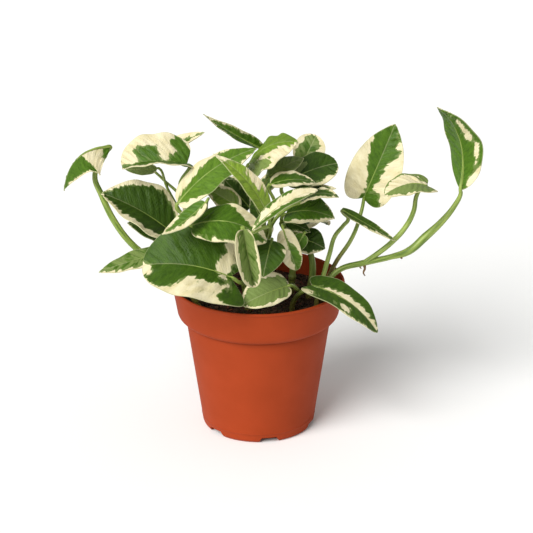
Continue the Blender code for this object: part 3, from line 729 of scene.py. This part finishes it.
def scatter(name, pattern, places, surface):
    """Copy a modelled bit to each (place, turn, size), each with its own mesh, and join them."""
    copies = []
    for place, turn, size in places:
        copy = pattern.copy()
        copy.data = pattern.data.copy()
        bpy.context.scene.collection.objects.link(copy)
        copy.matrix_world = Matrix.LocRotScale(place, turn, size)
        copies.append(copy)
    bpy.data.objects.remove(pattern, do_unlink=True)
    pick(*copies)
    bpy.ops.object.join()
    finish_piece(named(name), "soil", [surface])


def random_turn(chance, tilt=0.6):
    """Any way round, and tilted either way by up to tilt radians."""
    return Matrix.Rotation(chance.uniform(0, 2 * math.pi), 3, "Z") @ Matrix.Rotation(
        chance.uniform(-tilt, tilt), 3, "X") @ Matrix.Rotation(chance.uniform(-tilt, tilt), 3, "Y")


# how far loose bits keep away from the compost's edge
CRUMB_MARGIN = 2.5 * MM


def random_places(chance, count, bumps, smallest, largest, flat, area=None):
    """Places on the compost for loose bits, as (place, turn, size), sizes in millimetres."""
    places = []
    while len(places) < count:
        x, y = chance.uniform(-1, 1) * SOIL_HIGH.x, chance.uniform(-1, 1) * SOIL_HIGH.x
        if area:
            x, y = (chance.gauss(middle, spread) * MM for middle, spread in area)
        if math.hypot(x, y) > SOIL_HIGH.x - CRUMB_MARGIN:
            continue
        width = smallest + (largest - smallest) * chance.random() ** 2
        size = Vector([width * chance.uniform(0.6, 1.2) * MM for _ in range(3)])
        size.z *= flat
        place = Vector((x, y, soil_height(x, y, bumps) + 0.3 * size.z))
        places.append((place, random_turn(chance).to_quaternion(), size))
    return places


def build_crumbs(soil):
    """Loose crumbs, bark chips and a little moss on the compost."""
    chance = random.Random(5)
    bumps = soil.bumps
    deselect()
    bpy.ops.mesh.primitive_ico_sphere_add(subdivisions=1, radius=1)
    crumb = named("crumb")
    for corner in crumb.data.vertices:
        corner.co *= chance.uniform(0.7, 1.1)
    # Loose peat crumbs: crumbly and matt, from almost black to a warm brown where they have dried.
    peat = rough_bits("peat_crumbs", scaled(soil.colour, 5), scaled(soil.colour, 0.5), 4 * MM, 0.9)
    places = random_places(chance, soil.crumbs, bumps, 0.5, 1.9, 0.8)
    scatter("compost_crumbs", crumb, places, peat)

    deselect()
    bpy.ops.mesh.primitive_cube_add(size=2)
    chip = named("chip")
    edit()
    bpy.ops.transform.resize(value=(1, 0.45, 0.3))
    bpy.ops.mesh.bevel(offset=0.12, segments=1)
    leave()
    for corner in chip.data.vertices:
        corner.co *= chance.uniform(0.85, 1.1)
    # Composted bark: splintered red-brown chips that catch the light on the dark compost.
    bark = rough_bits("composted_bark", soil.chip_colour, scaled(soil.chip_colour, 0.35), 5 * MM, 0.8)
    scatter("bark_chips", chip, random_places(chance, soil.chips, bumps, 0.9, 2.6, 0.8), bark)

    deselect()
    bpy.ops.mesh.primitive_cone_add(vertices=5, radius1=0.5, radius2=0, depth=2)
    tuft = named("tuft")
    moss_area = ((7, 8), (-21, 6))
    # Cushion moss: a low mat of dull green shoots, matt and a little brown at their feet.
    moss = rough_bits("cushion_moss", soil.moss_colour, scaled(soil.moss_colour, 0.4), 3 * MM, 0.9)
    scatter("moss", tuft, random_places(chance, soil.tufts, bumps, 0.5, 1.3, 1.2, moss_area), moss)


# --- stems ---

def blade_frame(name):
    """Base, bend and tip of a blade's midrib, its arms to the left and right margins where it is
    widest, and the way its face looks, in millimetres."""
    base, tip, width, arch, (compass, height), fold = LEAVES[name]
    base, tip = Vector(base), Vector(tip)
    compass, height, fold = math.radians(compass), math.radians(height), math.radians(fold)
    chord = (tip - base).normalized()
    level = Vector((math.cos(compass), math.sin(compass), 0))
    look = level * math.cos(height) + Vector((0, 0, math.sin(height)))
    face = (look - chord * look.dot(chord)).normalized()
    side = chord.cross(face)
    middle = (base + tip) / 2 + face * arch
    left = (face * math.sin(fold) - side * math.cos(fold)) * width / 2
    right = (face * math.sin(fold) + side * math.cos(fold)) * width / 2
    return base, 2 * middle - (base + tip) / 2, tip, left, right, face


def on_midrib(blade, t):
    base, bend, tip = blade[:3]
    return (1 - t) ** 2 * base + 2 * t * (1 - t) * bend + t * t * tip


def along_midrib(blade, t):
    base, bend, tip = blade[:3]
    return ((1 - t) * (bend - base) + t * (tip - bend)).normalized()


def tube(name, points, radii, rings):
    """A closed round stem through points, with a radius at each, all in millimetres."""
    deselect()
    bpy.ops.curve.primitive_bezier_curve_add()
    path = named(name)
    edit()
    bpy.ops.curve.subdivide(number_cuts=len(points) - 2)
    leave()
    knots = path.data.splines[0].bezier_points
    for knot, point, radius in zip(knots, points, radii):
        knot.co = Vector(point) * MM
        knot.radius = radius
    edit()
    bpy.ops.curve.handle_type_set(type="AUTOMATIC")
    leave()
    path.data.dimensions = "3D"
    path.data.resolution_u = rings
    path.data.bevel_depth = MM
    path.data.bevel_resolution = 3
    path.data.use_fill_caps = True
    around = 2 * path.data.bevel_resolution + 4
    bpy.ops.object.convert(target="MESH")
    stem = bpy.context.object
    # place on the skin in millimetres: round the stem, and along it
    skin = stem.data.attributes.new("skin_place", "FLOAT_VECTOR", "POINT")
    corners = stem.data.vertices
    along = 0
    for i, corner in enumerate(corners):
        if i >= around and i % around == 0:
            along += (corner.co - corners[i - around].co).length / MM
        angle = 2 * math.pi * (i % around) / around
        skin.data[i].vector = (math.cos(angle), math.sin(angle), along)
    return stem


def vine_line(vine, count=VINE_POINTS):
    root, middle, tip = (Vector(point) for point in VINES[vine])
    bend = 2 * middle - (root + tip) / 2
    return interpolate_bezier(root, root + (bend - root) * 2 / 3, tip + (bend - tip) * 2 / 3, tip, count)


def under_blade(leaf, radius):
    """Points and radii of a stalk's last stretch: the midrib that stands out under the blade."""
    blade = blade_frame(leaf)
    points = [on_midrib(blade, t) - blade[5] * (radius * share * RIB_SINK) for t, share in RIB]
    return points, [radius * share for _, share in RIB]


def stalk_run(vine, leaf, height):
    """Points and radii of a leaf stalk: up and out of the vine, into the leaf's base along its
    midrib and on under the blade."""
    start = min(vine_line(vine, FINE_POINTS), key=lambda point: abs(point.z - height))
    blade = blade_frame(leaf)
    base = blade[0]
    heading = along_midrib(blade, 0)
    end = base - heading * STALK_GAP
    if leaf in STALK_VIA:
        line = [start, Vector(STALK_VIA[leaf]), end]
    else:
        span = (base - start).length
        out = Vector((base.x - start.x, base.y - start.y, 0))
        lift = start + Vector((0, 0, STALK_RISE * span)) + STALK_LEAN * out
        arrive = base - heading * STALK_ARRIVAL * span - Vector((0, 0, STALK_DIP * span))
        line = interpolate_bezier(start, lift, arrive, end, STALK_POINTS)
    # the stalks of small leaves are thinner
    slim = min(1.0, 0.55 + LEAVES[leaf][2] / 60)
    swell = SHEATHS.get(leaf, 0)
    radii = []
    for i in range(len(line)):
        share = i / (len(line) - 1)
        thick = STALK_BASE_RADIUS + (STALK_TIP_RADIUS - STALK_BASE_RADIUS) * share
        radii.append((thick + swell * (1 - share) ** 2) * slim)
    radii[-1] *= 1.12
    points, ribs = under_blade(leaf, STALK_TIP_RADIUS * slim)
    return list(line) + points, radii + ribs


def noded(points, radii):
    """Put a swollen node into a stem each NODE_SPACING along it."""
    line, sizes, walked = [Vector(points[0])], [radii[0]], 0
    due = NODE_SPACING / 2
    for start, end, first, last in zip(points, points[1:], radii, radii[1:]):
        start, end = Vector(start), Vector(end)
        span = (end - start).length
        while due < walked + span:
            share = (due - walked) / span
            middle, size = start.lerp(end, share), first + (last - first) * share
            step = (end - start) / span * NODE_LENGTH
            line += [middle - step, middle, middle + step]
            sizes += [size, size + NODE_SWELL, size]
            due += NODE_SPACING
        walked += span
        if (line[-1] - end).length > NODE_LENGTH:
            line.append(end)
            sizes.append(last)
    return line, sizes


def rooted(points):
    """The same run with a straight root below it."""
    foot = Vector(points[0])
    foot.z = SOIL_TOP - ROOT_DEPTH
    return [foot] + [Vector(point) for point in points]


def green_stem(name, stems, brown_below):
    # Living stem: a smooth waxy skin, yellow-green and streaked lengthwise a little darker, brown and
    # corky near the soil, with a satin gloss.
    streaks_round, streak_length = 1.3, 14
    browning, mottling = 18 * MM, 16 * MM
    material, add, shader = new_surface(name)
    place = add("TexCoord", {}, "Object")
    skin = add("Attribute", {}, "Vector", attribute_name="skin_place")
    scale = (streaks_round, streaks_round, 1 / streak_length)
    stretched = add("Mapping", {"Vector": skin, "Scale": scale})
    streaks = add("TexNoise", {"Vector": stretched, "Scale": 1.0, "Detail": 4})
    spread = add("MapRange", {"Value": streaks, "From Min": 0.38, "From Max": 0.66})
    green = add("Mix", {0: spread, MIX_A: stems.colour, MIX_B: stems.deep}, **MIXED)
    height = add("SeparateXYZ", {0: place}, "Z")
    mottle = add("Math", {0: streaks, 1: mottling}, operation="MULTIPLY")
    level = add("Math", {0: height, 1: mottle}, operation="ADD")
    low = add("MapRange", {"Value": level, "From Min": brown_below,
                           "From Max": brown_below + browning, "To Min": 0.75, "To Max": 0})
    colour = add("Mix", {0: low, MIX_A: green, MIX_B: stems.brown}, **MIXED)
    bump = add("Bump", {"Height": streaks, "Strength": 0.4, "Distance": 0.4 * MM})
    feed(shader, {"Base Color": colour, "Normal": bump, "Roughness": 0.42, "IOR": 1.42})
    return material


def join_tubes(name, tubes):
    pick(*tubes)
    if len(tubes) > 1:
        bpy.ops.object.join()
    piece = named(name)
    tidy_mesh(piece)
    bpy.ops.object.shade_smooth_by_angle(angle=SMOOTH_ANGLE)
    return piece


def build_stems(stems):
    """The four vines with their leaf stalks, the single stalks, the trailing vine and the roots."""
    skin = green_stem("living_stem", stems, SOIL_HIGH.z + 6 * MM)
    corky = green_stem("older_stem", stems, 108 * MM)
    for vine, stalks in STALKS.items():
        line, sizes = noded(vine_line(vine), [VINE_RADIUS] * VINE_POINTS)
        tubes = [tube("vine", rooted(line), [sizes[0]] + sizes, stems.rings)]
        tubes += [tube("stalk", *stalk_run(vine, leaf, height), stems.rings)
                  for leaf, height in stalks.items()]
        finish_piece(join_tubes("stem_" + vine, tubes), "stem", [skin], "vine_" + vine)
    for name, run in RUNNERS.items():
        line, sizes = zip(*run)
        ribs, thin = under_blade(RUNNER_LEAF[name], sizes[-1] * 0.85)
        tubes = [tube("run", rooted(line) + ribs, [sizes[0], *sizes, *thin], stems.rings)]
        if name == "trailing_vine":
            line, sizes = zip(*SIDE_STALK)
            ribs, thin = under_blade("right_level", 0.9)
            tubes.append(tube("side", [*line, *ribs], [*sizes, *thin], stems.rings))
        surface = corky if name == "stalk_right_heart" else skin
        finish_piece(join_tubes("living_" + name, tubes), "stem", [surface], name)
    roots = [tube(name, *zip(*run), stems.rings) for name, run in AERIAL_ROOTS.items()]
    # Aerial roots: dry brown cork with a matt, slightly cracked skin.
    cork = rough_bits("root_cork", stems.brown, scaled(stems.brown, 0.5), 1.5 * MM, 0.7)
    finish_piece(join_tubes("aerial_roots", roots), "stem", [cork])


# --- leaves ---

# How far a side vein runs forward on its way to the margin, as a share of its reach.
VEIN_SLANT = 0.7
# Where the markings say that green reaches the margin, it is drawn well past it, so that no ragged
# edge shows.
FULL_GREEN = 1.35
# Sizes of what swells a blade, in millimetres: how the side veins wander, the puckers between them,
# and the groove over the midrib.
WANDER = 9
PUCKER_LENGTH, PUCKER_WIDTH = 3.2, 4.5
GROOVE_DEPTH, GROOVE_WIDTH = 0.4, 0.9
# The patterns of a leaf's skin: the size of their bits along the midrib and along the side veins in
# millimetres, how much they change from leaf to leaf, and their detail and roughness.
STREAKS, LOBES = (1.5, 7.0, 1.0, 4, 0.6), (4.2, 7.0, 1.0, 2, 0.55)
MOTTLE, WRINKLES = (2.6, 6.0, 2.0, 4, 0.6), (1.1, 2.6, 3.0, 3, 0.65)


def blade_share(t, outline):
    """Width of a blade at t along its midrib, as a share of its widest, a little drawn in at the tip."""
    widest, fullness = outline["widest"], outline["fullness"]
    taper = fullness * (1 - widest) / widest
    share = (t ** fullness * (1 - t) ** taper) / (widest ** fullness * (1 - widest) ** taper)
    return share * (1 - 0.3 * t ** 8)


def blade_point(blade, t, across, share, outline):
    """Point of a blade at t along the midrib and across it from -1 at the left margin to 1."""
    arm = (blade[4] if across >= 0 else blade[3]).copy()
    heading = along_midrib(blade, t)
    arm.rotate(along_midrib(blade, outline["widest"]).rotation_difference(heading))
    reach = outline["lobe"] * arm.length * share * abs(across) ** 1.5 * 2 * (1 - t) ** 3
    back = blade[5] * outline["curl"] - heading
    return on_midrib(blade, t) + arm * (share * abs(across)) + back * reach


def green_depth(name, t, across, half, length):
    """How far inside the green of its blade a place lies, in millimetres, where below zero is
    cream, and how silvery the green is there."""
    grey = MARKINGS[name][3]
    side = int(across >= 0)
    reaches = [FULL_GREEN if reach >= 1 else reach for reach in MARKINGS[name][side]]
    depth = (float(np.interp(t, STATIONS, reaches)) - abs(across)) * half
    starts = GREEN_FROM[name][side] if name in GREEN_FROM else None
    if starts:
        depth = min(depth, (abs(across) - float(np.interp(t, STATIONS, starts))) * half)
    for along, out, long_half, wide_half, kind in PATCHES.get(name, ()):
        off = math.hypot((t - along) * length / long_half, (across - out) * half / wide_half)
        inside = (1 - off) * min(long_half, wide_half)
        depth = min(depth, -inside) if kind == "cream" else max(depth, inside)
        if kind == "grey" and inside > 0:
            grey = 1
    return depth, grey


def build_blade(name, leaves, materials):
    """A blade on its midrib: a grid bent to its outline, rippled and quilted, then thickened."""
    blade = blade_frame(name)
    outline = {**USUAL_OUTLINE, **OUTLINES.get(name, {})}
    tone = MARKINGS[name][2]
    chance = random.Random(name)
    length = (blade[2] - blade[0]).length
    breadth = blade[3].length
    bpy.ops.mesh.primitive_grid_add(x_subdivisions=leaves.rows, y_subdivisions=leaves.columns, size=1)
    piece = named("blade_" + name)
    mesh = piece.data
    waves, shift = chance.uniform(2.2, 3.4), (chance.random(), chance.random())
    seed = chance.uniform(0, 90)
    # a broad blade ripples and swells more than a narrow one, and a long one has wider spaced veins
    rise = leaves.wave / MM * min(breadth / 18, 1.2)
    quilt = leaves.quilting / MM * min(breadth / 14, 1.3)
    spacing = leaves.vein_spacing / MM * min(max(length / 48, 0.6), 1.2)
    veins, depths, rims = [], [], []
    for corner in mesh.vertices:
        # rows stand closer together at the base and the tip
        t = (1 - math.cos(math.pi * min(max(corner.co.x + 0.5, 0), 1))) / 2
        across = -2 * corner.co.y
        share = blade_share(t, outline)
        half = breadth * share
        place = blade_point(blade, t, across, share, outline)
        side = int(across > 0)
        out = abs(across) * half
        signed_out = out if side else -out
        vein = t * length - VEIN_SLANT * out
        ripple = rise * abs(across) ** 3 * math.sin(2 * math.pi * (waves * t + shift[side]))
        ripple *= math.sin(math.pi * t)
        wander = noise.noise(Vector((vein / WANDER, out / WANDER, seed + side)))
        pucker = noise.noise(Vector((vein / PUCKER_LENGTH, signed_out / PUCKER_WIDTH, seed)))
        swell = math.cos(2 * math.pi * (vein / spacing + 0.5 * wander) + side) + 1.1 * pucker
        swell *= quilt * (0.7 + wander) * math.sin(math.pi * abs(across)) ** 0.7
        groove = GROOVE_DEPTH * math.exp(-(out / GROOVE_WIDTH) ** 2) * (1 - t)
        corner.co = (place + blade[5] * (ripple + swell - groove)) * MM
        veins += (vein, signed_out, seed)
        depth, grey = green_depth(name, t, across, max(half, 0.01), length)
        depths += (depth, tone, grey)
        rims.append((1 - abs(across)) * half)
    mesh.attributes.new("vein_place", "FLOAT_VECTOR", "POINT").data.foreach_set("vector", veins)
    mesh.attributes.new("marks", "FLOAT_VECTOR", "POINT").data.foreach_set("vector", depths)
    mesh.attributes.new("rim", "FLOAT", "POINT").data.foreach_set("value", rims)
    pick(piece)
    edit()
    bpy.ops.mesh.remove_doubles(threshold=WELD)
    leave()
    wall = piece.modifiers.new("thickness", "SOLIDIFY")
    wall.thickness, wall.offset, wall.material_offset = leaves.thickness, 0, 1
    apply_modifiers(piece)
    bpy.ops.object.shade_smooth_by_angle(angle=BLADE_SMOOTH_ANGLE)
    finish_piece(piece, "leaf", materials, "leaf_" + name)


def variegated_leaf(name, leaves, underside):
    # Living leaf under a thin wax: green islands with ragged scalloped edges that follow the side
    # veins over cream tissue without green, a greyer green where only the lower layer has pigment, a
    # fine pale midrib and margin, small crisp wrinkles between the veins, and a satin gloss. The
    # underside is paler and duller.
    material, add, shader = new_surface(name)
    cream, silver = leaves.cream, leaves.silver
    pale = tuple(0.5 * (a + b) for a, b in zip(silver, cream))
    dull, shiny = (0.75, 0.65) if underside else (0.54, 0.42)

    place = add("Attribute", {}, "Vector", attribute_name="vein_place")
    marks = add("Attribute", {}, "Vector", attribute_name="marks")
    rim = add("Attribute", {}, "Fac", attribute_name="rim")
    depth, tone, grey = [add("SeparateXYZ", {0: marks}, axis) for axis in "XYZ"]
    across = add("SeparateXYZ", {0: place}, "Y")
    out = add("Math", {0: across}, operation="ABSOLUTE")
    patterns = []
    for along, outward, change, detail, roughness in (STREAKS, LOBES, MOTTLE, WRINKLES):
        at = add("Mapping", {"Vector": place, "Scale": (1 / along, 1 / outward, change)})
        patterns.append(add("TexNoise", {"Vector": at, "Scale": 1.0, "Detail": detail,
                                         "Roughness": roughness}))
    streaks, lobes, mottle, wrinkles = patterns

    # the edge of the green strays by up to these many millimetres either way
    edge = depth
    for pattern, stray in ((streaks, 1.4), (lobes, 3.75)):
        strayed = add("Math", {0: pattern, 1: 2 * stray, 2: -stray}, operation="MULTIPLY_ADD")
        edge = add("Math", {0: edge, 1: strayed}, operation="ADD")
    is_green = add("MapRange", {"Value": edge, "From Min": -0.2, "From Max": 0.25},
                   interpolation_type="SMOOTHSTEP")
    thin = add("Math", {0: mottle, 1: 5.0, 2: -3.2}, operation="MULTIPLY_ADD")
    inner = add("Math", {0: edge, 1: thin}, operation="ADD")
    is_full = add("MapRange", {"Value": inner, "From Min": -0.1, "From Max": 0.5},
                  interpolation_type="SMOOTHSTEP")

    # full green, by the blade's tone, clouded lighter, and darkened with painted shade in the creases of
    # its wrinkles
    to_middle = add("MapRange", {"Value": tone, "From Max": 0.5})
    green = add("Mix", {0: to_middle, MIX_A: leaves.dark, MIX_B: leaves.middle}, **MIXED)
    to_light = add("MapRange", {"Value": tone, "From Min": 0.5})
    green = add("Mix", {0: to_light, MIX_A: green, MIX_B: leaves.light}, **MIXED)
    brighter = add("HueSaturation", {"Color": green, "Value": 1.5, "Hue": 0.493})
    cloudy = add("MapRange", {"Value": mottle, "From Min": 0.35, "From Max": 0.72})
    green = add("Mix", {0: cloudy, MIX_A: green, MIX_B: brighter}, **MIXED)
    # painted shade: a darker green in the low creases of the wrinkle relief
    crease_shaded_green = add("HueSaturation", {"Color": green, "Value": 0.62, "Hue": 0.505})
    crease_shade_mask = add("MapRange", {"Value": wrinkles, "From Min": 0.5, "From Max": 0.3, "To Max": 0.7})
    green = add("Mix", {0: crease_shade_mask, MIX_A: green, MIX_B: crease_shaded_green}, **MIXED)

    # greyer where only the lower layer is green
    between = add("Mix", {0: 0.55, MIX_A: green, MIX_B: silver}, **MIXED)
    greyer = add("Mix", {0: 0.75, MIX_A: green, MIX_B: silver}, **MIXED)
    share = add("Math", {0: lobes, 1: grey}, operation="ADD")
    silvered = add("MapRange", {"Value": share, "From Min": 0.95, "From Max": 1.1})
    green = add("Mix", {0: silvered, MIX_A: green, MIX_B: greyer}, **MIXED)
    green = add("Mix", {0: is_full, MIX_A: between, MIX_B: green}, **MIXED)

    # cream, clouded yellower and flecked with green
    faint = add("HueSaturation", {"Color": cream, "Saturation": 1.25, "Value": 0.88})
    clouded = add("MapRange", {"Value": lobes, "From Min": 0.35, "From Max": 0.7})
    ground = add("Mix", {0: clouded, MIX_A: cream, MIX_B: faint}, **MIXED)
    striped = add("MapRange", {"Value": streaks, "From Min": 0.6, "From Max": 0.68, "To Max": 0.65})
    patchy = add("MapRange", {"Value": mottle, "From Min": 0.5, "From Max": 0.6})
    flecks = add("Math", {0: striped, 1: patchy}, operation="MULTIPLY")
    ground = add("Mix", {0: flecks, MIX_A: ground, MIX_B: between}, **MIXED)
    skin = add("Mix", {0: is_green, MIX_A: ground, MIX_B: green}, **MIXED)

    # the midrib and the margin
    for distance, full, fades, most in ((out, 0.15, 0.45, 0.26), (rim, 0.1, 0.4, 0.6)):
        line = add("MapRange", {"Value": distance, "From Min": fades, "From Max": full, "To Max": most})
        skin = add("Mix", {0: line, MIX_A: skin, MIX_B: pale}, **MIXED)
    if underside:
        skin = add("Mix", {0: 0.4, MIX_A: skin, MIX_B: leaves.underside}, **MIXED)

    relief = add("Math", {0: streaks, 1: 0.7}, operation="MULTIPLY")
    relief = add("Math", {0: wrinkles, 1: 0.6, 2: relief}, operation="MULTIPLY_ADD")
    bump = add("Bump", {"Height": relief, "Strength": 0.7, "Distance": 0.9 * MM})
    gloss = add("MapRange", {"Value": mottle, "From Min": 0.3, "From Max": 0.7,
                             "To Min": shiny, "To Max": dull})
    feed(shader, {"Base Color": skin, "Roughness": gloss, "Normal": bump, "IOR": 1.38,
                  "Specular IOR Level": 0.35})
    return material


def build_leaves(leaves):
    surfaces = [variegated_leaf("waxy_leaf", leaves, False),
                variegated_leaf("leaf_underside", leaves, True)]
    for name in LEAVES:
        build_blade(name, leaves, surfaces)


# --- stage ---

FLOOR_SIZE = 30
AIM = Vector((0.005, 0, 0.102))  # what the camera looks at
KEY_SIDE = Vector((-1.0, -1.3, 1.3))  # the key light shines from here towards the plant


def build_stage(stage):
    """A plain pale floor, soft light and the camera."""
    deselect()
    bpy.ops.mesh.primitive_plane_add(size=FLOOR_SIZE)
    floor = named("studio_floor")
    # Matt white studio paper: no gloss, so it shows only soft shadows.
    paper, _, shader = new_surface("studio_paper")
    feed(shader, {"Base Color": stage.floor, "Roughness": 0.95, "Specular IOR Level": 0.1})
    floor.data.materials.append(paper)

    world = bpy.data.worlds.new("soft_studio")
    bpy.context.scene.world = world
    world.use_nodes = True
    sky = world.node_tree.nodes["Background"]
    sky.inputs["Color"].default_value = (1, 1, 1, 1)
    sky.inputs["Strength"].default_value = stage.sky

    bpy.ops.object.light_add(type="SUN", location=KEY_SIDE)
    lamp = named("key_light")
    lamp.data.angle = stage.softness
    lamp.data.energy = stage.key
    lamp.rotation_euler = KEY_SIDE.to_track_quat("Z", "Y").to_euler()

    back = Vector((0, -math.cos(stage.elevation), math.sin(stage.elevation)))
    bpy.ops.object.camera_add(location=AIM + back * stage.distance)
    camera = named("camera")
    camera.rotation_euler = back.to_track_quat("Z", "Y").to_euler()
    camera.data.lens = stage.lens
    camera.data.clip_start = 0.01
    scene = bpy.context.scene
    scene.camera = camera
    scene.view_settings.view_transform = "Standard"
    scene.view_settings.look = "None"


# --- add-on ---

class POTHOS_OT_pot(bpy.types.Operator):
    """Turn the pot, cut its drain notches and give it its plastic"""
    bl_idname = "pothos.pot"
    bl_label = "Build pot"

    def execute(self, context):
        build_pot(context.scene.pothos.pot)
        return {"FINISHED"}


class POTHOS_OT_compost(bpy.types.Operator):
    """Fill the pot with compost and strew crumbs, bark and moss on it"""
    bl_idname = "pothos.compost"
    bl_label = "Build compost"

    def execute(self, context):
        build_compost(context.scene.pothos.soil, context.scene.pothos.pot)
        build_crumbs(context.scene.pothos.soil)
        return {"FINISHED"}


class POTHOS_OT_stems(bpy.types.Operator):
    """Grow the vines, leaf stalks and aerial roots"""
    bl_idname = "pothos.stems"
    bl_label = "Build stems"

    def execute(self, context):
        build_stems(context.scene.pothos.stems)
        return {"FINISHED"}


class POTHOS_OT_leaves(bpy.types.Operator):
    """Shape every leaf blade and give it its markings"""
    bl_idname = "pothos.leaves"
    bl_label = "Build leaves"

    def execute(self, context):
        build_leaves(context.scene.pothos.leaves)
        return {"FINISHED"}


class POTHOS_OT_stage(bpy.types.Operator):
    """Set up the floor, the lights and the camera"""
    bl_idname = "pothos.stage"
    bl_label = "Build stage"

    def execute(self, context):
        build_stage(context.scene.pothos.stage)
        return {"FINISHED"}


class POTHOS_PT_panel(bpy.types.Panel):
    bl_label = "Potted pothos"
    bl_idname = "POTHOS_PT_panel"
    bl_space_type = "VIEW_3D"
    bl_region_type = "UI"
    bl_category = "Pothos"

    def draw(self, context):
        for group, operator in (("pot", POTHOS_OT_pot), ("soil", POTHOS_OT_compost),
                                ("stems", POTHOS_OT_stems), ("leaves", POTHOS_OT_leaves),
                                ("stage", POTHOS_OT_stage)):
            box = self.layout.box()
            sizes = getattr(context.scene.pothos, group)
            for key in sizes.__annotations__:
                box.prop(sizes, key)
            box.operator(operator.bl_idname)


CLASSES = (
    PothosPot, PothosSoil, PothosStems, PothosLeaves, PothosStage, PothosSettings,
    POTHOS_OT_pot, POTHOS_OT_compost, POTHOS_OT_stems, POTHOS_OT_leaves, POTHOS_OT_stage, POTHOS_PT_panel,
)


def register():
    for each in CLASSES:
        bpy.utils.register_class(each)
    bpy.types.Scene.pothos = PointerProperty(type=PothosSettings)


def unregister():
    del bpy.types.Scene.pothos
    for each in reversed(CLASSES):
        bpy.utils.unregister_class(each)


def main():
    register()
    bpy.ops.pothos.pot()
    bpy.ops.pothos.compost()
    bpy.ops.pothos.stems()
    bpy.ops.pothos.leaves()
    bpy.ops.pothos.stage()


if __name__ == "__main__":
    main()
